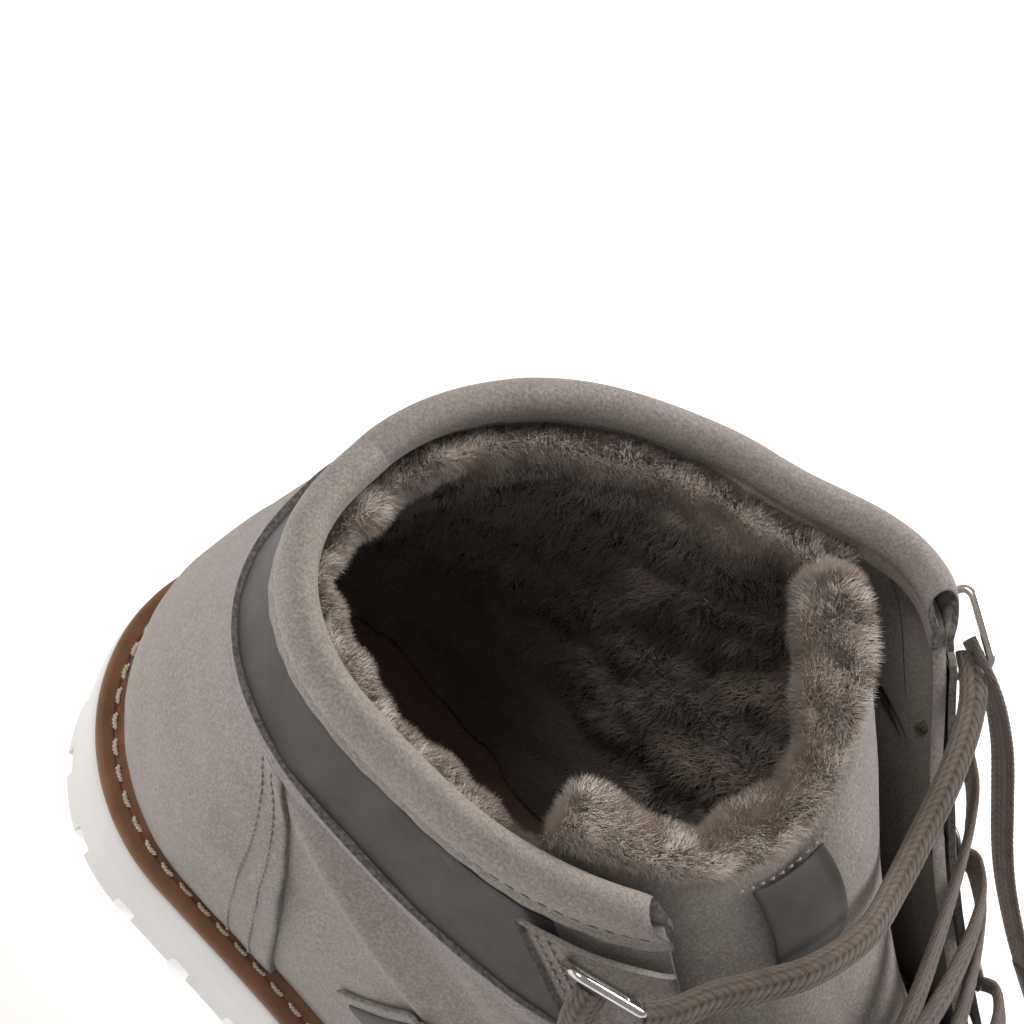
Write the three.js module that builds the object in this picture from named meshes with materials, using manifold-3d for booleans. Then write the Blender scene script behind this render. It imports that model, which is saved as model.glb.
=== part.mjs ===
// Sheepskin-lined lace-up ankle boot, right foot, standing empty on its sole. Millimetres.
// +X points to the toe, +Y to the inner (medial) side of the foot, +Z up.
// The origin is on the tread's flat face, at the middle of the sole's length.

import * as THREE from 'three';
import { mergeVertices } from 'three/addons/utils/BufferGeometryUtils.js';
import Module from 'manifold-3d';

const wasm = await Module();
wasm.setup();

const { clamp, lerp, smoothstep } = THREE.MathUtils;

// Driving dimensions

const GAP = 0.3;                 // clearance between pieces that touch
const SOLE_HALF = 143;           // half of the sole's length
const HEEL_CENTRE = -104;        // centre of the round heel seat
const TOE_START = 55;            // widest part of the forefoot, where the toe's round begins
const TOE_ROUND = 2.3;           // exponent of the toe's outline
const TOE_SWING = 5;             // how far the toe tip lies to the inner side
const SOLE_HEEL = 30;            // height of the rubber sole under the heel
const SOLE_BALL = 24;            // height of the rubber sole under the ball
const TOE_SPRING = 9;
const SPRING_START = 70;
const ARCH_RISE = 5;
const SOLE_TAPER = 5;            // how far the tread edge lies inside the welt edge
const SEAT_INSET = 11;           // inner edge of the welt, from the sole's edge
const WELT_THICK = 3;
const LUG_DEPTH = 5;
const LUG_NOTCH = 5;             // width of a notch in the tread's edge
const LUG_REACH = 13;            // how far a notch runs in from the edge
const LUG_PITCH = 15;
const GROOVE_X = [-118, -82, 12, 32, 52, 72, 90];
const GROOVE_WIDTH = 4;
const GROOVE_LENGTH = 34;
const CHANNEL_OUTER = 18;        // the tread's ring channel, from the tread's edge
const CHANNEL_INNER = 22;
const INSOLE_THICK = 4;

const WALL = 2.6;                // suede with its backing
const PILE = 7.5;                // sheepskin with its pile
const TONGUE_DEPTH = 3.8;        // the tongue's face lies this far under the upper's face
const TONGUE_THICK = 1.8;
const OVERLAY = 1.5;             // thickness of a sewn-on panel
const COLLAR_FLARE = 17;         // how far the inner facing is folded outwards
const MEDIAL_LIFT = 6;           // the collar is this much higher on the inner side
const LIFT = 0.8;                // a panel's back lies this far off the upper's face
const LACE_WIDTH = 5.5;
const LACE_THICK = 1.8;
const LACE_OFF = 6.1;            // middle of the lace above the upper's face, at an eyelet
const LACE_CORD = 2.2;           // radius of the loose lace, rounder where it is not pressed flat
const LACE_DIP = 4.2;            // how far a crossing sinks between the facings
const EYELET_HOLE = 2.4;         // radius
const WIRE = 1;                  // radius of the D-rings' wire
const RING_LENGTH = 16;          // D-ring, along its long sides
const RING_WIDTH = 9.2;
const RING_CORNER = 2.6;
const ANKLE_X = -88;             // where the shaft is widest

const N_SOLE = 44;
const N_UPPER = 42;
const LEVELS = [0, 0.06, 0.14, 0.25, 0.37, 0.49, 0.58, 0.66, 0.74, 0.82, 0.91, 1];
const TONGUE_LEVELS = [0.57, 0.66, 0.75, 0.84, 0.92, 0.99, 1.05, 1.1];

const COLOURS = {
  rubber: 0xece6e0, welt: 0x7b5135, suede: 0x98908a, leather: 0x5d5854,
  fleece: 0x9c9087, insole: 0x6b5449, lace: 0x665c4f, steel: 0xb9b4b0, eyelet: 0x57504c,
};

// Half-widths of the sole between heel seat and ball, on the outer (lateral) and inner side
const OUTLINE_ROWS = [
  { x: -104, lateral: 39, medial: 38 },
  { x: -75, lateral: 39, medial: 37 },
  { x: -40, lateral: 40.5, medial: 35.5 },
  { x: -5, lateral: 45, medial: 38.5 },
  { x: 28, lateral: 51, medial: 46.5 },
  { x: 55, lateral: 53.5, medial: 51.5 },
];

// Courses of the upper, from the feather line to above the collar. Each one rings the foot from a
// point on the heel's back to a point on the ridge of vamp and instep. heelLat and heelMed are the
// half-widths at the ankle, ball is the share of the sole's half-width at the ball, oval turns the
// course from the sole's outline to a plain oval, roundLat and roundMed round the back corners.
const COURSE_ROWS = [
  { level: 0.0, backX: -137, backZ: 33.3, frontX: 137, frontZ: 35.4, heelLat: 33.5, heelMed: 32.5,
    ball: 0.87, oval: 0, roundLat: 2, roundMed: 2 },
  { level: 0.1, backX: -140, backZ: 43, frontX: 138, frontZ: 45, heelLat: 36.5, heelMed: 35.5,
    ball: 0.93, oval: 0, roundLat: 2.1, roundMed: 2 },
  { level: 0.2, backX: -141.5, backZ: 53, frontX: 135, frontZ: 56, heelLat: 38.5, heelMed: 37.5,
    ball: 0.94, oval: 0, roundLat: 2.2, roundMed: 2 },
  { level: 0.3, backX: -141.5, backZ: 62, frontX: 124, frontZ: 66, heelLat: 40, heelMed: 39.5,
    ball: 0.92, oval: 0.15, roundLat: 2.3, roundMed: 2 },
  { level: 0.4, backX: -141, backZ: 71, frontX: 103, frontZ: 73, heelLat: 41.5, heelMed: 41,
    ball: 0.88, oval: 0.5, roundLat: 2.4, roundMed: 1.95 },
  { level: 0.5, backX: -140.5, backZ: 80, frontX: 73, frontZ: 79, heelLat: 42, heelMed: 42,
    ball: 0.85, oval: 0.85, roundLat: 2.5, roundMed: 1.9 },
  { level: 0.6, backX: -140, backZ: 89, frontX: 43, frontZ: 87, heelLat: 42.5, heelMed: 43,
    ball: 0.85, oval: 1, roundLat: 2.6, roundMed: 1.9 },
  { level: 0.7, backX: -139.5, backZ: 98, frontX: 18, frontZ: 98, heelLat: 42, heelMed: 43.5,
    ball: 0.85, oval: 1, roundLat: 2.7, roundMed: 1.85 },
  { level: 0.8, backX: -139, backZ: 106, frontX: -4, frontZ: 112, heelLat: 41.5, heelMed: 44,
    ball: 0.85, oval: 1, roundLat: 2.8, roundMed: 1.8 },
  { level: 0.9, backX: -138.5, backZ: 114, frontX: -22, frontZ: 127, heelLat: 40.5, heelMed: 44.5,
    ball: 0.85, oval: 1, roundLat: 2.9, roundMed: 1.75 },
  { level: 1.0, backX: -138, backZ: 122, frontX: -37, frontZ: 141, heelLat: 39.5, heelMed: 45,
    ball: 0.85, oval: 1, roundLat: 3, roundMed: 1.7 },
  { level: 1.1, backX: -137.5, backZ: 130, frontX: -50, frontZ: 152, heelLat: 39, heelMed: 45,
    ball: 0.85, oval: 1, roundLat: 3, roundMed: 1.7 },
];

// Edges of the throat, as angles from the ridge on each side
const THROAT_ROWS = [
  { level: 0.62, lateral: 0.04, medial: 0.04 },
  { level: 0.65, lateral: 0.28, medial: 0.3 },
  { level: 0.7, lateral: 0.56, medial: 0.6 },
  { level: 0.8, lateral: 0.74, medial: 0.72 },
  { level: 0.9, lateral: 0.76, medial: 0.76 },
  { level: 1.0, lateral: 0.765, medial: 0.77 },
  { level: 1.1, lateral: 0.77, medial: 0.78 },
];

// Front seam of the heel counter, from the welt to the ankle band
const COUNTER_ROWS = [
  { level: 0.0, x: -78 },
  { level: 0.2, x: -84 },
  { level: 0.4, x: -90 },
  { level: 0.6, x: -97 },
  { level: 0.78, x: -108 },
];

// Rear edge of the eyestays, as an angle from the ridge
const EYESTAY_ROWS = [
  { level: 0.6, angle: 0.62 },
  { level: 0.7, angle: 0.95 },
  { level: 0.8, angle: 1.13 },
  { level: 0.95, angle: 1.28 },
];

// Section of the padded collar roll: out from the wall's middle, up from the upper's top edge
const ROLL_SECTION = [
  { out: -3.2, up: 0.3 }, { out: -4.6, up: 3.6 }, { out: -3.3, up: 7.6 }, { out: 0.4, up: 9.6 },
  { out: 4.1, up: 8.3 }, { out: 5.8, up: 5 }, { out: 5.1, up: 0.6 }, { out: 3.4, up: -3.8 },
  { out: 2.1, up: -3.8 }, { out: 2.1, up: 0.3 },
];

// Places of the lace's holes on each side, from the top row down: level and angle from the ridge
const LATERAL_HOLES = [
  { level: 0.93, angle: -1.0 }, { level: 0.845, angle: -0.93 },
  { level: 0.76, angle: -0.84 }, { level: 0.69, angle: -0.7 },
];
const MEDIAL_HOLES = [
  { level: 0.94, angle: 0.92 }, { level: 0.84, angle: 0.96 },
  { level: 0.76, angle: 0.86 }, { level: 0.69, angle: 0.72 },
];

// Loose lace, by hand: x, y, z of each point from where it leaves a hole
const SLACK_ROUTE = [
  [-40, -32.5, 131], [-37, -25.5, 132], [-32.5, -18, 133], [-28, -9.5, 134.5], [-25, 4, 133.5],
  [-26, 16, 131.5], [-28.5, 26, 132], [-31.5, 34.5, 134.5], [-35, 42.5, 136.5], [-38, 48, 137],
];
const FREE_ROUTE = [
  [-45.7, 55.9, 137.1], [-39.6, 53.7, 136.8], [-33, 55.5, 130.5], [-25.5, 57, 122],
  [-17, 56.5, 112], [-9.5, 55.5, 104], [-1.5, 54.5, 96.5], [7, 53.5, 90], [16, 53, 84],
  [25, 52.5, 78.5],
];
const OUTER_ROUTE = [
  [-51.8, -39.7, 130.2], [-50, -42, 125.5], [-47, -42.4, 119.5], [-43.5, -42, 113.5],
  [-39, -41.5, 107.5], [-33.5, -41.5, 101.5],
];

// Half-angle of the tongue round each course
const TONGUE_ROWS = [
  { level: 0.58, half: 0.72 },
  { level: 0.7, half: 0.83 },
  { level: 0.8, half: 0.9 },
  { level: 0.9, half: 0.98 },
  { level: 1.0, half: 1.18 },
  { level: 1.1, half: 1.25 },
];

// Helpers for tables

/** Columns of a table at a value of its first column, on a smooth curve through the rows. */
function rowAt(rows, value) {
  const key = Object.keys(rows[0])[0];
  const last = rows.length - 1;
  const v = clamp(value, rows[0][key], rows[last][key]);
  let i = 0;
  while (i < last - 1 && v > rows[i + 1][key]) i += 1;
  const a = rows[i];
  const b = rows[i + 1];
  const before = rows[Math.max(i - 1, 0)];
  const after = rows[Math.min(i + 2, last)];
  const span = b[key] - a[key];
  const t = (v - a[key]) / span;
  const result = {};
  for (const name of Object.keys(a)) {
    const slopeA = (b[name] - before[name]) / (b[key] - before[key]);
    const slopeB = (after[name] - a[name]) / (after[key] - a[key]);
    result[name] = a[name] * (2 * t ** 3 - 3 * t ** 2 + 1) + b[name] * (3 * t ** 2 - 2 * t ** 3)
      + span * (slopeA * (t ** 3 - 2 * t ** 2 + t) + slopeB * (t ** 3 - t ** 2));
  }
  return result;
}

/** Height of a superellipse's edge at a share t of its half-length. */
function roundEnd(t, power) {
  return (1 - clamp(t, 0, 1) ** power) ** (1 / power);
}

// Helpers for solids

/** Geometry of one closed body, its faces turned outwards. */
function bodyFrom(points, triangles) {
  let volume = 0;
  for (const [a, b, c] of triangles) {
    volume += points[a].dot(new THREE.Vector3().crossVectors(points[b], points[c]));
  }
  const order = volume > 0 ? triangles : triangles.map(([a, b, c]) => [a, c, b]);
  const geometry = new THREE.BufferGeometry();
  geometry.setAttribute('position', new THREE.Float32BufferAttribute(
    points.flatMap((p) => [p.x, p.y, p.z]), 3));
  geometry.setIndex(order.flat());
  return geometry;
}

/** Wall between two grids of points with the same rows and columns; wrap closes each row. */
function wall(front, back, wrap) {
  const rows = front.length;
  const columns = front[0].length;
  const points = [...front.flat(), ...back.flat()];
  const half = rows * columns;
  const triangles = [];
  const quad = (a, b, c, d) => triangles.push([a, b, c], [a, c, d]);
  const at = (i, j) => i * columns + (j % columns);
  const reach = wrap ? columns : columns - 1;
  for (let i = 0; i < rows - 1; i += 1) {
    for (let j = 0; j < reach; j += 1) {
      quad(at(i, j), at(i, j + 1), at(i + 1, j + 1), at(i + 1, j));
      quad(half + at(i, j), half + at(i + 1, j), half + at(i + 1, j + 1), half + at(i, j + 1));
    }
    if (!wrap) {
      quad(at(i, 0), at(i + 1, 0), half + at(i + 1, 0), half + at(i, 0));
      const end = columns - 1;
      quad(at(i, end), half + at(i, end), half + at(i + 1, end), at(i + 1, end));
    }
  }
  for (let j = 0; j < reach; j += 1) {
    quad(at(0, j), half + at(0, j), half + at(0, j + 1), at(0, j + 1));
    const top = rows - 1;
    quad(at(top, j), at(top, j + 1), half + at(top, j + 1), half + at(top, j));
  }
  return bodyFrom(points, triangles);
}

/** Solid through closed outlines that start at the toe tip; strips across close both ends. */
function loft(outlines) {
  const n = outlines[0].length;
  const points = outlines.flat();
  const triangles = [];
  const quad = (a, b, c, d) => triangles.push([a, b, c], [a, c, d]);
  for (let i = 0; i < outlines.length - 1; i += 1) {
    for (let j = 0; j < n; j += 1) {
      const next = (j + 1) % n;
      quad(i * n + j, i * n + next, (i + 1) * n + next, (i + 1) * n + j);
    }
  }
  const top = (outlines.length - 1) * n;
  for (let j = 1; j < n / 2 - 1; j += 1) {
    quad(j, n - j, n - j - 1, j + 1);
    quad(top + j, top + j + 1, top + n - j - 1, top + n - j);
  }
  triangles.push([0, n - 1, 1], [n / 2, n / 2 - 1, n / 2 + 1]);
  triangles.push([top, top + 1, top + n - 1], [top + n / 2, top + n / 2 + 1, top + n / 2 - 1]);
  return bodyFrom(points, triangles);
}

/** Solid swept with a flat section through frames, each an origin with an out and an up arrow. */
function sweep(frames, section, closed = false) {
  const n = section.length;
  const points = frames.flatMap((frame) => section.map((row) => frame.origin.clone()
    .addScaledVector(frame.out, row.out).addScaledVector(frame.up, row.up)));
  const triangles = [];
  const rings = frames.length;
  for (let i = 0; i < (closed ? rings : rings - 1); i += 1) {
    for (let j = 0; j < n; j += 1) {
      const a = i * n + j;
      const b = i * n + ((j + 1) % n);
      const c = ((i + 1) % rings) * n + ((j + 1) % n);
      const d = ((i + 1) % rings) * n + j;
      triangles.push([a, b, c], [a, c, d]);
    }
  }
  if (!closed) {
    const flat = section.map((row) => new THREE.Vector2(row.out, row.up));
    const turn = Math.sign(THREE.ShapeUtils.area(flat));
    const last = (rings - 1) * n;
    for (const [a, b, c] of THREE.ShapeUtils.triangulateShape(flat, [])) {
      const same = Math.sign(THREE.ShapeUtils.area([flat[a], flat[b], flat[c]])) === turn;
      const [p, q] = same ? [b, c] : [c, b];
      triangles.push([a, q, p], [last + a, last + p, last + q]);
    }
  }
  return bodyFrom(points, triangles);
}

/** Round or oval section with the given radii and number of sides. */
function ovalSection(radiusOut, radiusUp, sides) {
  return Array.from({ length: sides }, (_, j) => {
    const angle = (2 * Math.PI * (j + 0.5)) / sides;
    return { out: radiusOut * Math.cos(angle), up: radiusUp * Math.sin(angle) };
  });
}

/** Closed geometry turned into a solid for cutting and joining. */
function solid(geometry) {
  const bare = geometry.clone();
  bare.deleteAttribute('normal');
  bare.deleteAttribute('uv');
  const merged = mergeVertices(bare, 1e-4);
  return new wasm.Manifold(new wasm.Mesh({
    numProp: 3,
    vertProperties: new Float32Array(merged.attributes.position.array),
    triVerts: new Uint32Array(merged.index.array),
  }));
}

function geometryOf(manifold) {
  const mesh = manifold.getMesh();
  const geometry = new THREE.BufferGeometry();
  geometry.setAttribute('position', new THREE.Float32BufferAttribute(mesh.vertProperties, 3));
  geometry.setIndex([...mesh.triVerts]);
  return geometry;
}

/** A geometry less all the cutters; small offcuts fall away. */
function cut(geometry, cutters) {
  let body = solid(geometry);
  for (const cutter of cutters) body = body.subtract(solid(cutter));
  const bodies = body.decompose();
  return geometryOf(bodies.reduce((a, b) => (a.volume() > b.volume() ? a : b)));
}

/** Geometries that overlap, joined to one body. */
function join(geometries) {
  let body = solid(geometries[0]);
  for (const other of geometries.slice(1)) body = body.add(solid(other));
  return geometryOf(body);
}

// The sole's own outline and heights

function centreLine(x) {
  return TOE_SWING * smoothstep(x, -20, SOLE_HALF);
}

/** Half-width of the sole on one side (+1 inner, -1 outer). */
function soleHalfWidth(x, side) {
  const name = side > 0 ? 'medial' : 'lateral';
  if (x < HEEL_CENTRE) {
    const t = (HEEL_CENTRE - x) / (SOLE_HALF + HEEL_CENTRE);
    return OUTLINE_ROWS[0][name] * roundEnd(t, 2);
  }
  if (x > TOE_START) {
    const t = (x - TOE_START) / (SOLE_HALF - TOE_START);
    return OUTLINE_ROWS.at(-1)[name] * roundEnd(t, TOE_ROUND);
  }
  return rowAt(OUTLINE_ROWS, x)[name];
}

function soleSpring(x) {
  return TOE_SPRING * Math.max(0, (x - SPRING_START) / (SOLE_HALF - SPRING_START)) ** 2;
}

function soleBottom(x) {
  const arch = smoothstep(x, -60, -50) * (1 - smoothstep(x, -45, -21));
  return soleSpring(x) + ARCH_RISE * arch;
}

function soleTop(x) {
  return lerp(SOLE_HEEL, SOLE_BALL, smoothstep(x, -75, 30)) + 0.9 * soleSpring(x);
}

function weltTop(x) {
  return soleTop(x) + WELT_THICK;
}

/** Outline of the sole moved inwards by inset, as points at the heights that rise(x) gives. */
function soleOutline(inset, rise, count = N_SOLE) {
  const flat = [];
  for (let j = 0; j < count; j += 1) {
    const angle = (2 * Math.PI * j) / count;
    const x = SOLE_HALF * Math.cos(angle);
    const side = Math.sin(angle) >= 0 ? 1 : -1;
    flat.push(new THREE.Vector2(x, centreLine(x) + side * soleHalfWidth(x, side)));
  }
  return flat.map((p, j) => {
    const along = flat[(j + 1) % count].clone().sub(flat[(j + count - 1) % count]).normalize();
    const x = p.x - along.y * inset;
    return new THREE.Vector3(x, p.y + along.x * inset, rise(x));
  });
}

// The upper's own surface

/** Height of a course at x; the low courses follow the feather line. */
function courseHeight(course, x) {
  const t = clamp((x - course.backX) / (course.frontX - course.backX), 0, 1);
  const plain = lerp(course.backZ, course.frontZ, t);
  const foot = COURSE_ROWS[0];
  const feather = weltTop(x) + GAP - lerp(foot.backZ, foot.frontZ, t);
  return plain + feather * Math.max(0, 1 - course.level / 0.5);
}

/** Half-width of a course at x on one side. */
function courseHalfWidth(course, x, side) {
  const atAnkle = side > 0 ? course.heelMed : course.heelLat;
  const power = side > 0 ? course.roundMed : course.roundLat;
  const soleX = lerp(-SOLE_HALF, SOLE_HALF, (x - course.backX) / (course.frontX - course.backX));
  const heelShare = atAnkle / soleHalfWidth(ANKLE_X, side);
  const share = lerp(heelShare, course.ball, smoothstep(x, ANKLE_X, TOE_START));
  const shaped = share * soleHalfWidth(soleX, side);
  const oval = x < ANKLE_X
    ? atAnkle * roundEnd((ANKLE_X - x) / (ANKLE_X - course.backX), power)
    : atAnkle * roundEnd((x - ANKLE_X) / (course.frontX - ANKLE_X), 2);
  return lerp(shaped, oval, course.oval);
}

/** Point of the upper's outer face; angle 0 is the ridge, pi the back, positive the inner side. */
function facePoint(level, angle, flare) {
  const course = rowAt(COURSE_ROWS, level);
  const middle = (course.frontX + course.backX) / 2;
  const half = (course.frontX - course.backX) / 2;
  const x = middle + half * Math.cos(angle);
  const side = Math.sin(angle) >= 0 ? 1 : -1;
  const inner = Math.max(0, Math.sin(angle));
  const high = smoothstep(level, 0.45, 0.97);
  const folded = flare * COLLAR_FLARE * high * smoothstep(x, -92, -52) * smoothstep(inner, 0, 0.4);
  const y = centreLine(x) + side * courseHalfWidth(course, x, side) + folded;
  const lift = MEDIAL_LIFT * high * Math.min(1, 1.6 * inner);
  return new THREE.Vector3(x, y, courseHeight(course, x) + lift);
}

/** Point at a distance off the upper's outer face, outwards where it is positive. */
function upperPoint(level, angle, off = 0, flare = 1) {
  const step = 0.004;
  const up = facePoint(level + step, angle, flare).sub(facePoint(level - step, angle, flare));
  const round = facePoint(level, angle + step, flare).sub(facePoint(level, angle - step, flare));
  const normal = new THREE.Vector3().crossVectors(round, up).normalize();
  return facePoint(level, angle, flare).addScaledVector(normal, off);
}

/** Grid over the upper between two levels and two angles, which may change with the level. */
function upperGrid(levels, angles, off, flare = 1) {
  return levels.map((level) => angles(level).map((angle) => {
    const distance = typeof off === 'function' ? off(level, angle) : off;
    return upperPoint(level, angle, distance, flare);
  }));
}

function spread(from, to, count) {
  return Array.from({ length: count + 1 }, (_, i) => lerp(from, to, i / count));
}

function fullTurn(count) {
  return () => Array.from({ length: count }, (_, j) => (2 * Math.PI * j) / count);
}

/** Space of the open throat, from above the facings to inside the pile. */
function throatCutter() {
  const levels = [0.62, 0.635, 0.65, 0.67, 0.7, 0.75, 0.8, 0.85, 0.9, 0.95, 1, 1.06];
  const across = (level) => {
    const edge = rowAt(THROAT_ROWS, level);
    return spread(-edge.lateral, edge.medial, 10);
  };
  return wall(upperGrid(levels, across, 5), upperGrid(levels, across, -WALL - PILE - 4), false);
}

// The pieces

function outsole() {
  const side = (share, inset) => soleOutline(inset, (x) => lerp(soleBottom(x), soleTop(x), share));
  const body = loft([
    side(0, SOLE_TAPER),
    side(0.2, SOLE_TAPER - 0.4),
    side(0.6, 1.8),
    side(0.9, 0.2),
    side(1, 0),
    soleOutline(SEAT_INSET + GAP, soleTop),
    soleOutline(SEAT_INSET + GAP, weltTop),
  ]);
  const edge = soleOutline(SOLE_TAPER, soleBottom, 240);
  const cutters = [];
  let run = 0;
  for (let j = 1; j < edge.length; j += 1) {
    run += edge[j].distanceTo(edge[j - 1]);
    const raised = edge[j].x < 0 && edge[j].z > 1;
    if (run >= LUG_PITCH && !raised) {
      run = 0;
      const along = edge[j].clone().sub(edge[j - 1]);
      const notch = new THREE.BoxGeometry(LUG_NOTCH, LUG_REACH * 2, LUG_DEPTH * 2);
      notch.rotateZ(Math.atan2(along.y, along.x));
      cutters.push(notch.translate(edge[j].x, edge[j].y, edge[j].z));
    }
  }
  const channel = (inset, sign) => soleOutline(inset, (x) => soleBottom(x) + sign * LUG_DEPTH * 0.8, 24);
  cutters.push(wall(
    [channel(CHANNEL_OUTER, -1), channel(CHANNEL_OUTER, 1)],
    [channel(CHANNEL_INNER, -1), channel(CHANNEL_INNER, 1)], true));
  for (const x of GROOVE_X) {
    const groove = new THREE.BoxGeometry(GROOVE_WIDTH, GROOVE_LENGTH, LUG_DEPTH * 1.6);
    cutters.push(groove.translate(x, centreLine(x), soleBottom(x)));
  }
  return cut(body, cutters);
}

function welt() {
  const across = [
    { inset: 0, top: -0.4 }, { inset: 0.8, top: 0 }, { inset: SEAT_INSET, top: 0 },
  ];
  const top = across.map((row) => soleOutline(row.inset, (x) => weltTop(x) + row.top));
  const low = across.map((row) => soleOutline(row.inset, (x) => soleTop(x) + GAP));
  return wall(top, low, true);
}

function upper() {
  const outer = upperGrid(LEVELS, fullTurn(N_UPPER), 0);
  const inner = upperGrid(LEVELS, fullTurn(N_UPPER), -WALL);
  inner[0].forEach((p) => { p.z = weltTop(p.x) + GAP; });
  return cut(wall(outer, inner, true), [throatCutter()]);
}

function insole() {
  const ring = (off, rise) => upperGrid([0.02], fullTurn(N_UPPER), off)[0]
    .map((p) => new THREE.Vector3(p.x, p.y, weltTop(p.x) + rise));
  return loft([
    ring(-WALL - GAP - 1, GAP), ring(-WALL - GAP - 0.6, GAP + INSOLE_THICK - 1),
    ring(-WALL - GAP - 1.6, GAP + INSOLE_THICK),
  ]);
}

/** Depth of the pile at a place: soft locks that never repeat exactly. */
function pileDepth(level, angle) {
  const lock = Math.sin(angle * 17 + level * 9) * Math.sin(level * 31 + 2 * Math.sin(angle * 7));
  return PILE + 1.2 * lock;
}

function tongueHalf(level) {
  return rowAt(TONGUE_ROWS, level).half;
}

function sheepskinLining() {
  const levels = LEVELS.slice(1);
  const skin = -WALL - GAP;
  const outer = upperGrid(levels, fullTurn(N_UPPER), skin);
  const inner = upperGrid(levels, fullTurn(N_UPPER), (level, angle) => skin - pileDepth(level, angle));
  const room = (level) => spread(-tongueHalf(level) - 0.09, tongueHalf(level) + 0.16, 10);
  const above = [0.55, 0.65, 0.75, 0.85, 0.95, 1.05];
  const pocket = wall(upperGrid(above, room, 3), upperGrid(above, room, skin - PILE - 9), false);
  return cut(wall(outer, inner, true), [pocket]);
}

function tongueSpan(level) {
  return spread(-tongueHalf(level), tongueHalf(level), 12);
}

/** Distance of the tongue's face under the upper's face; its edges dip behind the collar roll. */
function tongueDepth(level, angle) {
  return TONGUE_DEPTH + 3.8 * smoothstep(level, 0.86, 0.95) * smoothstep(Math.abs(angle), 0.5, 0.8);
}

function tongueGrid(off) {
  const distance = (level, angle) => off(level, angle) - tongueDepth(level, angle);
  return upperGrid(TONGUE_LEVELS, tongueSpan, distance, 0);
}

function tongue() {
  return wall(tongueGrid(() => 0), tongueGrid(() => -TONGUE_THICK), false);
}

function tongueFleece() {
  const skin = TONGUE_THICK + GAP;
  const crown = (level, angle) => -skin - 6 - 4 * smoothstep(level, 0.8, 1)
    - 1.3 * Math.sin(angle * 9) * Math.sin(level * 23);
  return wall(tongueGrid(() => -skin), tongueGrid(crown), false);
}

/** Angle round a course at which the upper's face has a given x. */
function angleAt(level, x) {
  const course = rowAt(COURSE_ROWS, level);
  return Math.acos(clamp((2 * x - course.frontX - course.backX) / (course.frontX - course.backX), -1, 1));
}

/** The upper as it was before the throat was cut, with the clearance that a panel keeps to it. */
function upperEnvelope() {
  const turn = fullTurn(N_UPPER);
  return wall(upperGrid(LEVELS, turn, GAP), upperGrid(LEVELS, turn, -WALL - 2), true);
}

/** Sewn-on panel over the upper; across gives the angles of a course. */
function panel(levels, across, thick = OVERLAY, lift = LIFT) {
  const plate = wall(upperGrid(levels, across, lift + thick), upperGrid(levels, across, lift), false);
  return cut(plate, [upperEnvelope()]);
}

/** Even columns between two edges, which may change with the level. */
function evenly(from, to, count) {
  return (level) => spread(from(level), to(level), count);
}

/** Courses of the upper between two levels, with both ends. */
function levelsBetween(from, to) {
  return [from, ...LEVELS.filter((level) => level > from + 0.02 && level < to - 0.02), to];
}

function heelCounter() {
  const seam = (level) => angleAt(level, rowAt(COUNTER_ROWS, level).x);
  const levels = levelsBetween(0.01, 0.775);
  const turn = (2 * Math.PI) / N_UPPER;
  const first = Math.ceil(Math.max(...levels.map(seam)) / turn);
  const shared = Array.from({ length: N_UPPER - 2 * first + 1 }, (_, j) => (first + j) * turn);
  return panel(levels, (level) => [seam(level), ...shared, 2 * Math.PI - seam(level)], 1.2);
}

function eyestayRear(level) {
  return rowAt(EYESTAY_ROWS, level).angle;
}

function ankleBand() {
  const from = (level) => eyestayRear(level) + 0.03;
  return panel(levelsBetween(0.8, 0.945), evenly(from, (level) => 2 * Math.PI - from(level), 30),
    1.3, 1.2);
}

function eyestay(side) {
  const levels = levelsBetween(0.66, 0.945);
  const edge = (level) => rowAt(THROAT_ROWS, level)[side > 0 ? 'medial' : 'lateral'];
  return panel(levels, evenly((level) => side * edge(level), (level) => side * eyestayRear(level), 4));
}

/** Frames along the collar's top edge, from one throat corner round the back to the other. */
function collarFrames() {
  const corner = 0.79;
  return spread(corner, 2 * Math.PI - corner, 32).map((angle) => {
    const origin = upperPoint(1, angle, -WALL / 2);
    const out = upperPoint(1, angle, 1).sub(upperPoint(1, angle, 0)).normalize();
    const along = upperPoint(1, angle + 0.01, 0).sub(upperPoint(1, angle - 0.01, 0)).normalize();
    const up = new THREE.Vector3().crossVectors(out, along).normalize();
    if (up.z < 0) up.negate();
    return { origin, out, up };
  });
}

function collarRoll() {
  return sweep(collarFrames(), ROLL_SECTION);
}

/** Frame on the upper's face: origin off the face, out along its normal, and the way to the toe. */
function faceFrame(hole, off) {
  const origin = upperPoint(hole.level, hole.angle, off);
  const out = upperPoint(hole.level, hole.angle, 1).sub(upperPoint(hole.level, hole.angle, 0)).normalize();
  const down = upperPoint(hole.level - 0.01, hole.angle, 0).sub(upperPoint(hole.level + 0.01, hole.angle, 0));
  const toe = down.addScaledVector(out, -down.dot(out)).normalize();
  return { origin, out, toe, across: new THREE.Vector3().crossVectors(out, toe) };
}

/** Rolled eyelet on a facing: a flat flange with a raised lip round the hole. */
function eyelet(hole) {
  const profile = [
    new THREE.Vector2(EYELET_HOLE, 0), new THREE.Vector2(EYELET_HOLE + 1.9, 0),
    new THREE.Vector2(EYELET_HOLE + 1.7, 0.8), new THREE.Vector2(EYELET_HOLE + 0.9, 1.3),
    new THREE.Vector2(EYELET_HOLE, 1), new THREE.Vector2(EYELET_HOLE, 0),
  ];
  const ring = new THREE.LatheGeometry(profile, 8);
  const frame = faceFrame(hole, LIFT + OVERLAY + GAP);
  ring.applyMatrix4(new THREE.Matrix4().makeBasis(frame.across, frame.out, frame.toe));
  return ring.translate(frame.origin.x, frame.origin.y, frame.origin.z);
}

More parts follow.
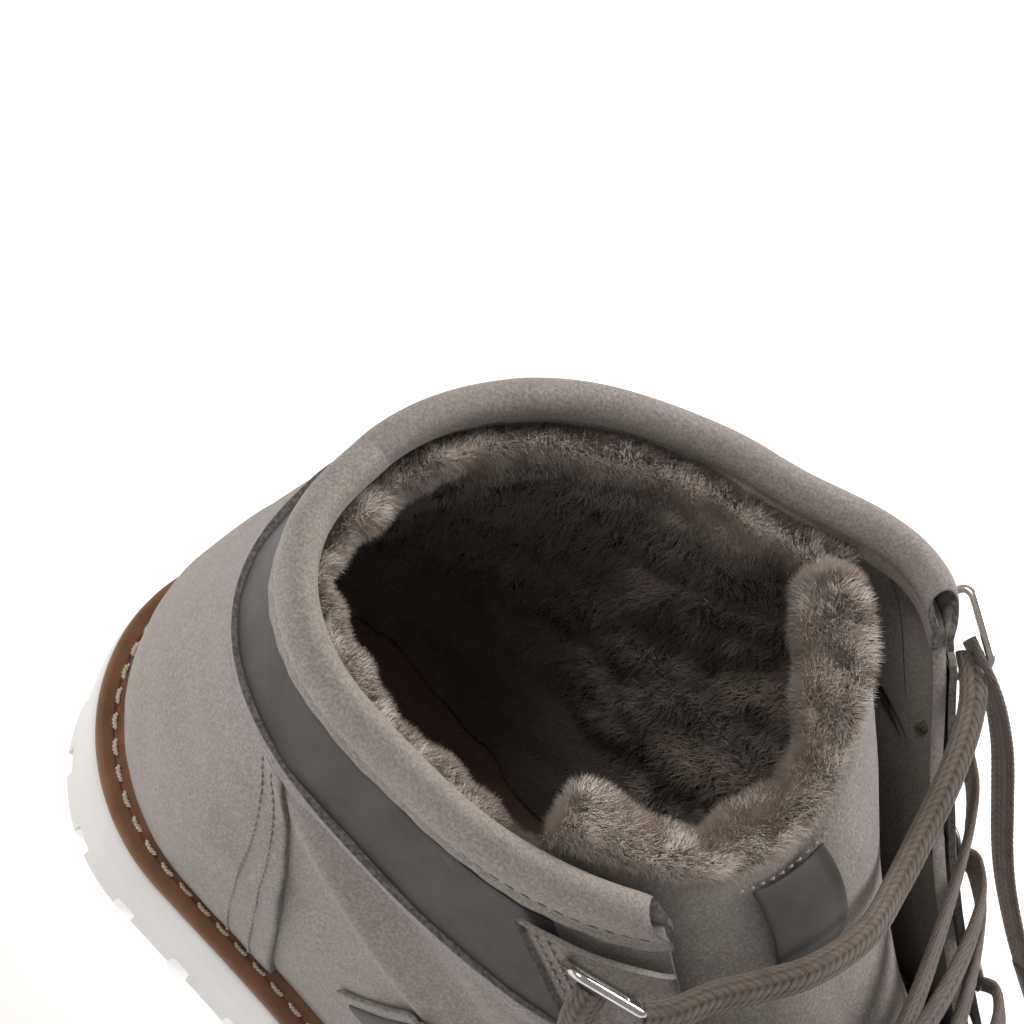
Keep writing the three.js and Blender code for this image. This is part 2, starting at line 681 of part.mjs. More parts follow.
/** Rectangular ring of steel wire on one side's facing, its long sides level. */
function dRing(hole, side) {
  const frame = faceFrame(hole, LIFT + OVERLAY + GAP + WIRE + 0.5);
  const long = frame.toe.clone().addScaledVector(frame.across, -side).normalize();
  const short = new THREE.Vector3().crossVectors(frame.out, long);
  const frames = [];
  for (let quarter = 0; quarter < 4; quarter += 1) {
    for (const share of [0, 0.5, 1]) {
      const angle = ((quarter + share) * Math.PI) / 2;
      const a = Math.cos(angle);
      const b = Math.sin(angle);
      const signA = quarter === 0 || quarter === 3 ? 1 : -1;
      const signB = quarter < 2 ? 1 : -1;
      const cornerA = signA * (RING_WIDTH / 2 - RING_CORNER);
      const cornerB = signB * (RING_LENGTH / 2 - RING_CORNER);
      const origin = frame.origin.clone()
        .addScaledVector(short, cornerA + RING_CORNER * a)
        .addScaledVector(long, cornerB + RING_CORNER * b);
      const out = short.clone().multiplyScalar(a).addScaledVector(long, b);
      frames.push({ origin, out, up: frame.out });
    }
  }
  return sweep(frames, ovalSection(WIRE, WIRE, 6), true);
}

/** Flat lace strand between two holes, resting above the tongue between the facings. */
function laceStrand(from, to) {
  const steps = spread(0, 1, 6);
  const at = (t) => {
    const level = lerp(from.level, to.level, t);
    const angle = lerp(from.angle, to.angle, t);
    const middle = Math.sin(Math.PI * t);
    return upperPoint(level, angle, LACE_OFF - LACE_DIP * middle ** 2, 1 - smoothstep(middle, 0.3, 1));
  };
  const frames = steps.map((t) => {
    const along = at(Math.min(t + 0.02, 1)).sub(at(Math.max(t - 0.02, 0))).normalize();
    const level = lerp(from.level, to.level, t);
    const angle = lerp(from.angle, to.angle, t);
    const up = upperPoint(level, angle, 1).sub(upperPoint(level, angle, 0));
    up.addScaledVector(along, -up.dot(along)).normalize();
    return { origin: at(t), out: new THREE.Vector3().crossVectors(along, up), up };
  });
  return sweep(frames, ovalSection(LACE_WIDTH / 2, LACE_THICK / 2, 6));
}

function laceBars() {
  const strands = [];
  for (let row = 1; row < LATERAL_HOLES.length - 1; row += 1) {
    strands.push(laceStrand(LATERAL_HOLES[row], MEDIAL_HOLES[row + 1]));
    strands.push(laceStrand(LATERAL_HOLES[row + 1], MEDIAL_HOLES[row]));
  }
  strands.push(laceStrand(LATERAL_HOLES.at(-1), MEDIAL_HOLES.at(-1)));
  return join(strands);
}

/** Round cord along hand-placed points. */
function cord(points, steps) {
  const path = new THREE.CatmullRomCurve3(points.map(([x, y, z]) => new THREE.Vector3(x, y, z)));
  const section = new THREE.Shape(Array.from({ length: 8 }, (_, j) => {
    const angle = (2 * Math.PI * j) / 8;
    return new THREE.Vector2(LACE_CORD * Math.cos(angle), LACE_CORD * Math.sin(angle));
  }));
  return new THREE.ExtrudeGeometry(section, { steps, extrudePath: path, curveSegments: 1 });
}

/** Flat leather loop, sewn across the top of the tongue. */
function pullLoop() {
  const levels = spread(0.93, 1.03, 6);
  const across = () => spread(-0.33, 0.04, 3);
  const rise = (level) => 0.5 + 3.2 * Math.sin(Math.PI * clamp((level - 0.93) / 0.1, 0, 1));
  const low = upperGrid(levels, across, (level) => rise(level) - TONGUE_DEPTH, 0);
  return wall(upperGrid(levels, across, (level) => rise(level) + 1.6 - TONGUE_DEPTH, 0), low, false);
}

/** Plain sewn patch on the outer side, over the quarter. */
function sidePatch() {
  const low = 0.3;
  const high = 0.57;
  const rear = (level) => -72 + 11 * ((level - low) / (high - low));
  const across = evenly((level) => -angleAt(level, rear(level)),
    (level) => -angleAt(level, rear(level) + 32), 4);
  return panel(levelsBetween(low, high), across, 1.2);
}

// Assembly

const boot = new THREE.Group();

function place(name, geometry, colour, roughness, metalness = 0) {
  const material = new THREE.MeshStandardMaterial({ color: colour, roughness, metalness });
  const mesh = new THREE.Mesh(geometry, material);
  mesh.name = name;
  boot.add(mesh);
}

place('outsole', outsole(), COLOURS.rubber, 0.6);
place('welt', welt(), COLOURS.welt, 0.65);
place('insole', insole(), COLOURS.insole, 0.95);
place('upper', upper(), COLOURS.suede, 0.95);
place('sheepskin_lining', sheepskinLining(), COLOURS.fleece, 1);
place('tongue', tongue(), COLOURS.suede, 0.95);
place('tongue_fleece', tongueFleece(), COLOURS.fleece, 1);

place('heel_counter', heelCounter(), COLOURS.suede, 0.95);
place('ankle_band', ankleBand(), COLOURS.leather, 0.7);
place('eyestay_lateral', eyestay(-1), COLOURS.suede, 0.95);
place('eyestay_medial', eyestay(1), COLOURS.suede, 0.95);
place('collar_roll', collarRoll(), COLOURS.suede, 0.95);
place('pull_loop', pullLoop(), COLOURS.leather, 0.7);
place('side_patch', sidePatch(), COLOURS.leather, 0.7);
place('lace_bars', laceBars(), COLOURS.lace, 0.9);
place('lace_slack', cord(SLACK_ROUTE, 10), COLOURS.lace, 0.9);
place('lace_free_end', cord(FREE_ROUTE, 10), COLOURS.lace, 0.9);
place('lace_outer_end', cord(OUTER_ROUTE, 6), COLOURS.lace, 0.9);
place('d_ring_lateral', dRing(LATERAL_HOLES[0], -1), COLOURS.steel, 0.2, 1);
place('d_ring_medial', dRing(MEDIAL_HOLES[0], 1), COLOURS.steel, 0.2, 1);
for (let row = 1; row < LATERAL_HOLES.length; row += 1) {
  place(`eyelet_lateral_${row}`, eyelet(LATERAL_HOLES[row]), COLOURS.eyelet, 0.35, 1);
  place(`eyelet_medial_${row}`, eyelet(MEDIAL_HOLES[row]), COLOURS.eyelet, 0.35, 1);
}

export default boot;
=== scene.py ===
"""Looks of a sheepskin-lined lace-up ankle boot, right foot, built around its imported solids.

The boot stands on the floor with its toe to +X and its inner (medial) side to +Y. Sizes are in
millimetres as on the real boot and are turned into metres where a mesh is made.
"""

import logging
import math
from contextlib import contextmanager
from dataclasses import dataclass
from enum import Enum
from typing import Callable, Iterator, Sequence

import bmesh
import bpy
import numpy as np
from mathutils import Matrix, Vector


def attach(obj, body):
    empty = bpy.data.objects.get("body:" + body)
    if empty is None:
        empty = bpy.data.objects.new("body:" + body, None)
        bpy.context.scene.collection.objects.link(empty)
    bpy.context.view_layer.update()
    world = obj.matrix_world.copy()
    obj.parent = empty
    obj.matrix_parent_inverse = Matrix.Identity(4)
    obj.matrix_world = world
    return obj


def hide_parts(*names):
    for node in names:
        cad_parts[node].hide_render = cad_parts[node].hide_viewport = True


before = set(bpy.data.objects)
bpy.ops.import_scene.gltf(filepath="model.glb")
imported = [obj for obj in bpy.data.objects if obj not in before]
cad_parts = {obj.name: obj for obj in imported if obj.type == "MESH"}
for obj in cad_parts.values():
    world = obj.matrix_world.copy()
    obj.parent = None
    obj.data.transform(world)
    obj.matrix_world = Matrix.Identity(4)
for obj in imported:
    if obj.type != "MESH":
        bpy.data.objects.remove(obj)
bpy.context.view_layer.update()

MM = 0.001
LOG = logging.getLogger("boot")

Array = np.ndarray
Place = Callable[[Array, Array], Array]


# Tables and plain curves


class Table:
    """Short table with named columns, read on a smooth curve through its rows."""

    def __init__(self, columns: str, *rows: Sequence[float]) -> None:
        """Keep the rows; the first column is the one that is looked up.

        Args:
            columns: Names of the columns, with spaces between them.
            rows: The numbers of each row.
        """
        self.names = columns.split()
        self.rows = np.array(rows, float)

    def at(self, value: Array, name: str) -> Array:
        """Read one column.

        Args:
            value: Values of the first column, held to the table's range.
            name: The column to read.

        Returns:
            The column's value at each of them.
        """
        key, data = self.rows[:, 0], self.rows[:, self.names.index(name)]
        v = np.clip(value, key[0], key[-1])
        last = len(key) - 1
        i = np.clip(np.searchsorted(key[1:], v, side="left"), 0, last - 1)
        before, after = np.maximum(i - 1, 0), np.minimum(i + 2, last)
        span = key[i + 1] - key[i]
        t = (v - key[i]) / span
        slope_a = (data[i + 1] - data[before]) / (key[i + 1] - key[before])
        slope_b = (data[after] - data[i]) / (key[after] - key[i])
        bend = slope_a * (t**3 - 2 * t**2 + t) + slope_b * (t**3 - t**2)
        ease = 3 * t**2 - 2 * t**3
        return data[i] * (1 - ease) + data[i + 1] * ease + span * bend


def ease(x: Array, low: float, high: float) -> Array:
    """Smooth step of x from 0 at low to 1 at high."""
    t = np.clip((x - low) / (high - low), 0, 1)
    return t * t * (3 - 2 * t)


def mix(a: Array, b: Array, t: Array) -> Array:
    """Straight blend from a to b."""
    return a + (b - a) * t


def bell(x: Array, middle: float, width: float) -> Array:
    """Bell curve of height 1."""
    return np.exp(-(((x - middle) / width) ** 2))


def round_end(t: Array, power: Array) -> Array:
    """Height of a superellipse's edge at a share t of its half-length."""
    return (1 - np.clip(t, 0, 1) ** power) ** (1 / power)


def unit(v: Array) -> Array:
    """Vectors scaled to length 1."""
    return v / np.maximum(np.linalg.norm(v, axis=-1, keepdims=True), 1e-12)


class Waves:
    """Soft random field made of plane waves, the same on each run."""

    def __init__(self, seed: int, size: float, count: int = 18) -> None:
        """Draw the waves.

        Args:
            seed: Seed of the draw.
            size: Length of a typical wave, in millimetres.
            count: How many waves are added up.
        """
        rng = np.random.default_rng(seed)
        turn = unit(rng.normal(size=(count, 3)))
        self.waves = turn * (2 * np.pi / size) * rng.uniform(0.6, 1.5, (count, 1))
        self.phases = rng.uniform(0, 2 * np.pi, count)

    def at(self, points: Array) -> Array:
        """Value of the field at points, mostly between -1 and 1."""
        total = np.zeros(points.shape[:-1])
        for wave, phase in zip(self.waves, self.phases):
            total += np.sin(points @ wave + phase)
        return total / math.sqrt(len(self.phases) / 2) / 1.6


# The boot's own shape


@dataclass(frozen=True)
class Last:
    """The boot's sole outline and the outer face of its upper, as functions."""

    sole_half: float = 143.0
    heel_centre: float = -104.0
    toe_start: float = 55.0
    toe_round: float = 2.3
    toe_swing: float = 5.0
    sole_heel: float = 30.0
    sole_ball: float = 24.0
    toe_spring: float = 9.0
    spring_start: float = 70.0
    arch_rise: float = 5.0
    welt_thick: float = 3.0
    ankle_x: float = -88.0
    collar_flare: float = 17.0
    medial_lift: float = 6.0
    gap: float = 0.3
    arch_rear: tuple[float, float] = (-60.0, -50.0)
    arch_front: tuple[float, float] = (-45.0, -21.0)
    sole_fall: tuple[float, float] = (-75.0, 30.0)
    swing_start: float = -20.0
    spring_share: float = 0.9
    fold_levels: tuple[float, float] = (0.45, 0.97)
    fold_x: tuple[float, float] = (-92.0, -52.0)

    outline: Table = Table(
        "x lateral medial",
        (-104, 39, 38), (-75, 39, 37), (-40, 40.5, 35.5), (-5, 45, 38.5), (28, 51, 46.5),
        (55, 53.5, 51.5),
    )
    courses: Table = Table(
        "level back_x back_z front_x front_z heel_lat heel_med ball oval round_lat round_med",
        (0.0, -137, 33.3, 137, 35.4, 33.5, 32.5, 0.87, 0, 2, 2),
        (0.1, -140, 43, 138, 45, 36.5, 35.5, 0.93, 0, 2.1, 2),
        (0.2, -141.5, 53, 135, 56, 38.5, 37.5, 0.94, 0, 2.2, 2),
        (0.3, -141.5, 62, 124, 66, 40, 39.5, 0.92, 0.15, 2.3, 2),
        (0.4, -141, 71, 103, 73, 41.5, 41, 0.88, 0.5, 2.4, 1.95),
        (0.5, -140.5, 80, 73, 79, 42, 42, 0.85, 0.85, 2.5, 1.9),
        (0.6, -140, 89, 43, 87, 42.5, 43, 0.85, 1, 2.6, 1.9),
        (0.7, -139.5, 98, 18, 98, 42, 43.5, 0.85, 1, 2.7, 1.85),
        (0.8, -139, 106, -4, 112, 41.5, 44, 0.85, 1, 2.8, 1.8),
        (0.9, -138.5, 114, -22, 127, 40.5, 44.5, 0.85, 1, 2.9, 1.75),
        (1.0, -138, 122, -37, 141, 39.5, 45, 0.85, 1, 3, 1.7),
        (1.1, -137.5, 130, -50, 152, 39, 45, 0.85, 1, 3, 1.7),
    )
    throat: Table = Table(
        "level lateral medial",
        (0.62, 0.04, 0.04), (0.65, 0.28, 0.3), (0.7, 0.56, 0.6), (0.8, 0.74, 0.72),
        (0.9, 0.76, 0.76), (1.0, 0.765, 0.77), (1.1, 0.77, 0.78),
    )
    counter: Table = Table("level x", (0.0, -78), (0.2, -84), (0.4, -90), (0.6, -97), (0.78, -108))
    eyestay: Table = Table("level angle", (0.6, 0.62), (0.7, 0.95), (0.8, 1.13), (0.95, 1.28))
    tongue: Table = Table(
        "level half", (0.58, 0.72), (0.7, 0.83), (0.8, 0.9), (0.9, 0.98), (1.0, 1.18), (1.1, 1.25)
    )

    def sole_width(self, x: Array, inner: Array) -> Array:
        """Half-width of the sole at x, on the inner side where inner is true."""
        table = np.where(inner, self.outline.at(x, "medial"), self.outline.at(x, "lateral"))
        heel = np.where(inner, self.outline.rows[0, 2], self.outline.rows[0, 1])
        toe = np.where(inner, self.outline.rows[-1, 2], self.outline.rows[-1, 1])
        heel_t = (self.heel_centre - x) / (self.sole_half + self.heel_centre)
        toe_t = (x - self.toe_start) / (self.sole_half - self.toe_start)
        width = np.where(x < self.heel_centre, heel * round_end(heel_t, 2), table)
        return np.where(x > self.toe_start, toe * round_end(toe_t, self.toe_round), width)

    def centre_line(self, x: Array) -> Array:
        """Y of the sole's middle at x."""
        return self.toe_swing * ease(x, self.swing_start, self.sole_half)

    def spring(self, x: Array) -> Array:
        """Toe spring of the sole at x."""
        reach = self.sole_half - self.spring_start
        return self.toe_spring * np.maximum(0, (x - self.spring_start) / reach) ** 2

    def sole_bottom(self, x: Array) -> Array:
        """Height of the tread at x."""
        arch = ease(x, *self.arch_rear) * (1 - ease(x, *self.arch_front))
        return self.spring(x) + self.arch_rise * arch

    def sole_top(self, x: Array) -> Array:
        """Height of the rubber's upper edge at x."""
        height = mix(self.sole_heel, self.sole_ball, ease(x, *self.sole_fall))
        return height + self.spring_share * self.spring(x)

    def welt_top(self, x: Array) -> Array:
        """Height of the welt's flat face at x."""
        return self.sole_top(x) + self.welt_thick

    def outline_at(self, share: Array, inset: Array) -> tuple[Array, Array]:
        """Point of the sole's outline, moved inwards.

        Args:
            share: Share of the way round, from the toe tip over the inner side.
            inset: Distance inwards.

        Returns:
            X and y of each point.
        """
        def edge(part: Array) -> Array:
            angle = 2 * np.pi * part
            x = self.sole_half * np.cos(angle)
            inner = np.sin(angle) >= 0
            side = np.where(inner, 1.0, -1.0)
            return np.stack([x, self.centre_line(x) + side * self.sole_width(x, inner)], -1)

        step = 0.002
        along = unit(edge(share + step) - edge(share - step))
        p = edge(share)
        return p[..., 0] - along[..., 1] * inset, p[..., 1] + along[..., 0] * inset

    def face(self, level: Array, angle: Array, flare: Array = 1.0) -> Array:
        """Point of the upper's outer face.

        Args:
            level: 0 at the feather line, 1 at the collar's top edge.
            angle: Angle from the ridge, positive to the inner side, pi at the back.
            flare: Share of the outward fold of the inner collar.

        Returns:
            The points, one row each.
        """
        level, angle = np.broadcast_arrays(np.asarray(level, float), np.asarray(angle, float))
        read = {n: self.courses.at(level, n) for n in self.courses.names[1:]}
        half = (read["front_x"] - read["back_x"]) / 2
        x = read["back_x"] + half + half * np.cos(angle)
        inner = np.sin(angle) >= 0
        side = np.where(inner, 1.0, -1.0)
        depth = np.maximum(0, np.sin(angle))
        high = ease(level, *self.fold_levels)
        folded = flare * self.collar_flare * high * ease(x, *self.fold_x) * ease(depth, 0, 0.4)
        y = self.centre_line(x) + side * self.course_width(read, x, inner) + folded
        lift = self.medial_lift * high * np.minimum(1, 1.6 * depth)
        return np.stack([x, y, self.course_height(read, x, level) + lift], -1)

    def course_height(self, read: dict[str, Array], x: Array, level: Array) -> Array:
        """Height of a course at x; the low courses follow the feather line."""
        t = np.clip((x - read["back_x"]) / (read["front_x"] - read["back_x"]), 0, 1)
        plain = mix(read["back_z"], read["front_z"], t)
        foot = self.courses.rows[0]
        feather = self.welt_top(x) + self.gap - mix(foot[2], foot[4], t)
        return plain + feather * np.maximum(0, 1 - level / 0.5)

    def course_width(self, read: dict[str, Array], x: Array, inner: Array) -> Array:
        """Half-width of a course at x on one side."""
        ankle = np.where(inner, read["heel_med"], read["heel_lat"])
        power = np.where(inner, read["round_med"], read["round_lat"])
        share_x = (x - read["back_x"]) / (read["front_x"] - read["back_x"])
        sole_x = mix(-self.sole_half, self.sole_half, share_x)
        heel_share = ankle / self.sole_width(np.full_like(x, self.ankle_x), inner)
        share = mix(heel_share, read["ball"], ease(x, self.ankle_x, self.toe_start))
        shaped = share * self.sole_width(sole_x, inner)
        behind = round_end((self.ankle_x - x) / (self.ankle_x - read["back_x"]), power)
        before = round_end((x - self.ankle_x) / (read["front_x"] - self.ankle_x), 2.0)
        oval = ankle * np.where(x < self.ankle_x, behind, before)
        return mix(shaped, oval, read["oval"])

    def normal(self, level: Array, angle: Array, flare: Array = 1.0) -> Array:
        """Outward normal of the upper's face."""
        step = 0.004
        up = self.face(level + step, angle, flare) - self.face(level - step, angle, flare)
        turn = self.face(level, angle + step, flare) - self.face(level, angle - step, flare)
        return unit(np.cross(turn, up))

    def point(self, level: Array, angle: Array, off: Array = 0.0, flare: Array = 1.0) -> Array:
        """Point at a distance off the upper's outer face, outwards where it is positive."""
        off = np.asarray(off, float)
        return self.face(level, angle, flare) + self.normal(level, angle, flare) * off[..., None]

    def angle_at(self, level: Array, x: Array) -> Array:
        """Angle round a course at which the face has a given x."""
        back, front = self.courses.at(level, "back_x"), self.courses.at(level, "front_x")
        return np.arccos(np.clip((2 * x - front - back) / (front - back), -1, 1))

    def tongue_half(self, level: Array) -> Array:
        """Half-angle of the tongue at a level."""
        return self.tongue.at(level, "half")


LAST = Last()


# Meshes


def publish(name: str, mesh: bpy.types.Mesh) -> bpy.types.Object:
    """Put a mesh into the scene as an object at the origin, shaded smooth."""
    mesh.polygons.foreach_set("use_smooth", np.ones(len(mesh.polygons), bool))
    piece = bpy.data.objects.new(name, mesh)
    bpy.context.scene.collection.objects.link(piece)
    return piece


def from_bmesh(name: str, bm: bmesh.types.BMesh) -> bpy.types.Object:
    """Put a finished bmesh into the scene and free it."""
    mesh = bpy.data.meshes.new(name)
    bm.to_mesh(mesh)
    bm.free()
    return publish(name, mesh)


@contextmanager
def edited(mesh: bpy.types.Mesh) -> Iterator[bmesh.types.BMesh]:
    """Open a mesh for bmesh operators, and write it back afterwards."""
    bm = bmesh.new()
    bm.from_mesh(mesh)
    yield bm
    bm.to_mesh(mesh)
    bm.free()


def write_marks(mesh: bpy.types.Mesh, marks: dict[str, Array]) -> None:
    """Store one number a vertex under each name."""
    for name, values in marks.items():
        layer = mesh.attributes.new(name, "FLOAT", "POINT")
        layer.data.foreach_set("value", np.asarray(values, np.float32).ravel())


def steady(value: float) -> Place:
    """Mark that has one value everywhere."""
    return lambda u, v: np.full_like(u, value)


def sheet_of(
    name: str,
    columns: Array,
    rows: Array,
    place: Place,
    marks: dict[str, Place] | None = None,
    ring: bool = False,
    tube: bool = False,
) -> bpy.types.Object:
    """Surface over a grid of columns and rows.

    Args:
        name: Name of the piece.
        columns: Parameter of each column of vertices.
        rows: Parameter of each row of vertices.
        place: Gives the points, in millimetres, for arrays of both parameters.
        marks: Named numbers that the finish reads, as functions of both parameters.
        ring: The last column meets the first.
        tube: The last row meets the first.

    Returns:
        The new object. Its UV map holds the two parameters.
    """
    bm = bmesh.new()
    bmesh.ops.create_grid(bm, x_segments=len(columns) - 1, y_segments=len(rows) - 1, size=1)
    mesh = bpy.data.meshes.new(name)
    bm.to_mesh(mesh)
    bm.free()
    co = np.zeros(len(mesh.vertices) * 3, np.float32)
    mesh.vertices.foreach_get("co", co)
    flat = co.reshape(-1, 3)
    i = np.rint((flat[:, 0] + 1) / 2 * (len(columns) - 1)).astype(int)
    j = np.rint((flat[:, 1] + 1) / 2 * (len(rows) - 1)).astype(int)
    u, v = np.asarray(columns, float)[i], np.asarray(rows, float)[j]
    mesh.vertices.foreach_set("co", (place(u, v) * MM).astype(np.float32).ravel())
    corners = np.zeros(len(mesh.loops), np.int32)
    mesh.loops.foreach_get("vertex_index", corners)
    uv = mesh.uv_layers.new(name="weave")
    uv.data.foreach_set("uv", np.stack([u, v], -1)[corners].astype(np.float32).ravel())
    write_marks(mesh, {key: mark(u, v) for key, mark in (marks or {}).items()})
    if ring or tube:
        with edited(mesh) as bm:
            bmesh.ops.remove_doubles(bm, verts=bm.verts, dist=2e-6)
    return publish(name, mesh)


def thicken(piece: bpy.types.Object, depth: float, soft: float = 0.0, hidden: bool = False) -> None:
    """Give a sheet its thickness behind its face, and round its cut edges.

    Args:
        piece: The sheet.
        depth: Its thickness in millimetres.
        soft: Width of the rounded edges.
        hidden: The back is out of sight, so that only the cut edges are added.
    """
    wall = piece.modifiers.new("thickness", "SOLIDIFY")
    wall.thickness = depth * MM
    wall.offset = -1
    wall.use_rim_only = hidden
    if soft:
        edge = piece.modifiers.new("soft_edge", "BEVEL")
        edge.width = soft * MM
        edge.segments = 2
        edge.limit_method = "ANGLE"
        edge.angle_limit = math.radians(50)


def turn_out(piece: bpy.types.Object) -> None:
    """Turn the faces of a closed piece outwards."""
    with edited(piece.data) as bm:
        bmesh.ops.recalc_face_normals(bm, faces=bm.faces)


def flip(piece: bpy.types.Object) -> None:
    """Turn every face of a sheet to its other side."""
    piece.data.flip_normals()


def strips(
    name: str, points: Array, faces: Array, marks: dict[str, Array], normals: Array | None = None,
) -> bpy.types.Object:
    """Many small triangles as one piece.

    Args:
        name: Name of the piece.
        points: Vertices in millimetres.
        faces: Three vertex numbers a row.
        marks: Named numbers, one a vertex.
        normals: Normals that shade the vertices, where they aren't the triangles' own.

    Returns:
        The new object.
    """
    mesh = bpy.data.meshes.new(name)
    mesh.vertices.add(len(points))
    mesh.vertices.foreach_set("co", (points * MM).astype(np.float32).ravel())
    mesh.loops.add(faces.size)
    mesh.loops.foreach_set("vertex_index", faces.astype(np.int32).ravel())
    mesh.polygons.add(len(faces))
    mesh.polygons.foreach_set("loop_start", np.arange(0, faces.size, 3, dtype=np.int32))
    write_marks(mesh, marks)
    mesh.update(calc_edges=True)
    piece = publish(name, mesh)
    if normals is not None:
        mesh.normals_split_custom_set_from_vertices(normals.astype(np.float32))
    return piece


def smooth_path(points: Sequence[Sequence[float]], count: int) -> Array:
    """Even points on a smooth curve through a route's points.

    Args:
        points: The route's points, in millimetres.
        count: How many points to return.

    Returns:
        The points, one row each.
    """
    p = np.array(points, float)
    gaps = np.linalg.norm(np.diff(p, axis=0), axis=1) ** 0.5
    knots = np.concatenate([[0], np.cumsum(gaps)])
    table = Table("t x y z", *np.column_stack([knots, p]))
    fine = np.linspace(0, knots[-1], 40 * len(p))
    curve = np.stack([table.at(fine, n) for n in "xyz"], -1)
    run = np.concatenate([[0], np.cumsum(np.linalg.norm(np.diff(curve, axis=0), axis=1))])
    even = np.linspace(0, run[-1], count)
    return np.stack([np.interp(even, run, curve[:, k]) for k in range(3)], -1)


def path_length(path: Array) -> float:
    """Length of a path of points."""
    return float(np.linalg.norm(np.diff(path, axis=0), axis=1).sum())


class Sweep:
    """A section carried along a path, its up arrow kept near a wanted one."""

    def __init__(self, path: Array, up: Array, closed: bool = False) -> None:
        """Work out the frames.

        Args:
            path: Points of the path.
            up: The wanted up arrow, one for all points or one for each.
            closed: The path's last point is its first.
        """
        self.path = path
        ahead = np.gradient(path, axis=0)
        if closed:
            ahead[0] = ahead[-1] = path[1] - path[-2]
        self.along = unit(ahead)
        up = np.broadcast_to(up, path.shape)
        self.up = unit(up - (up * self.along).sum(-1, keepdims=True) * self.along)
        self.side = np.cross(self.along, self.up)

    def at(self, t: Array, side: Array, up: Array) -> Array:
        """Points at a share of the path's length, off its line.

        Args:
            t: Share of the way along, 0 to 1.
            side: Distance to the side.
            up: Distance along the up arrow.

        Returns:
            The points, one row each.
        """
        where = np.clip(t, 0, 1) * (len(self.path) - 1)
        i = np.minimum(where.astype(int), len(self.path) - 2)
        part = (where - i)[..., None]

        def read(values: Array) -> Array:
            return mix(values[i], values[i + 1], part)

        return read(self.path) + read(self.side) * side[..., None] + read(self.up) * up[..., None]


# Shader maths


class Wire:
    """A socket that carries a number, with the arithmetic that masks need."""

    def __init__(self, tree: "Shader", socket: bpy.types.NodeSocket) -> None:
        """Keep the socket and the shader that it belongs to."""
        self.tree = tree
        self.socket = socket

    def _math(self, operation: str, *values: "Wire | float") -> "Wire":
        """Math node on numbers."""
        settings = {"operation": operation}
        return self.tree.add("ShaderNodeMath", settings, dict(enumerate(values))).out(0)

    def __add__(self, other: "Wire | float") -> "Wire":
        """Sum."""
        return self._math("ADD", self, other)

    def __sub__(self, other: "Wire | float") -> "Wire":
        """Difference."""
        return self._math("SUBTRACT", self, other)

    def __mul__(self, other: "Wire | float") -> "Wire":
        """Product."""
        return self._math("MULTIPLY", self, other)

    def clamp(self) -> "Wire":
        """Value held between 0 and 1."""
        settings = {"operation": "ADD", "use_clamp": True}
        return self.tree.add("ShaderNodeMath", settings, {0: self, 1: 0.0}).out(0)

    def over(self, low: float, high: float) -> "Wire":
        """Smooth step from 0 at low to 1 at high."""
        values = {"Value": self, "From Min": low, "From Max": high}
        settings = {"interpolation_type": "SMOOTHSTEP"}
        return self.tree.add("ShaderNodeMapRange", settings, values).out(0)


class Made:
    """A node of a shader, with its outputs as wires."""

    def __init__(self, tree: "Shader", node: bpy.types.Node) -> None:
        """Keep the node."""
        self.tree = tree
        self.node = node

    def out(self, key: int | str) -> Wire:
        """One output."""
        return Wire(self.tree, self.node.outputs[key])


Colour = tuple[float, float, float]


def grey_hex(text: str) -> Colour:
    """Linear colour of a screen colour such as 98908a."""
    parts = [int(text[k : k + 2], 16) / 255 for k in (0, 2, 4)]
    return tuple(p / 12.92 if p <= 0.04045 else ((p + 0.055) / 1.055) ** 2.4 for p in parts)


def mix_tone(a: Colour, b: Colour, share: float) -> Colour:
    """Colour between two others."""
    return tuple(x + (y - x) * share for x, y in zip(a, b))


def darker(tone: Colour, share: float) -> Colour:
    """Tone on its way to black."""
    return mix_tone(tone, (0, 0, 0), share)


def paler(tone: Colour, share: float) -> Colour:
    """Tone on its way to white."""
    return mix_tone(tone, (1, 1, 1), share)


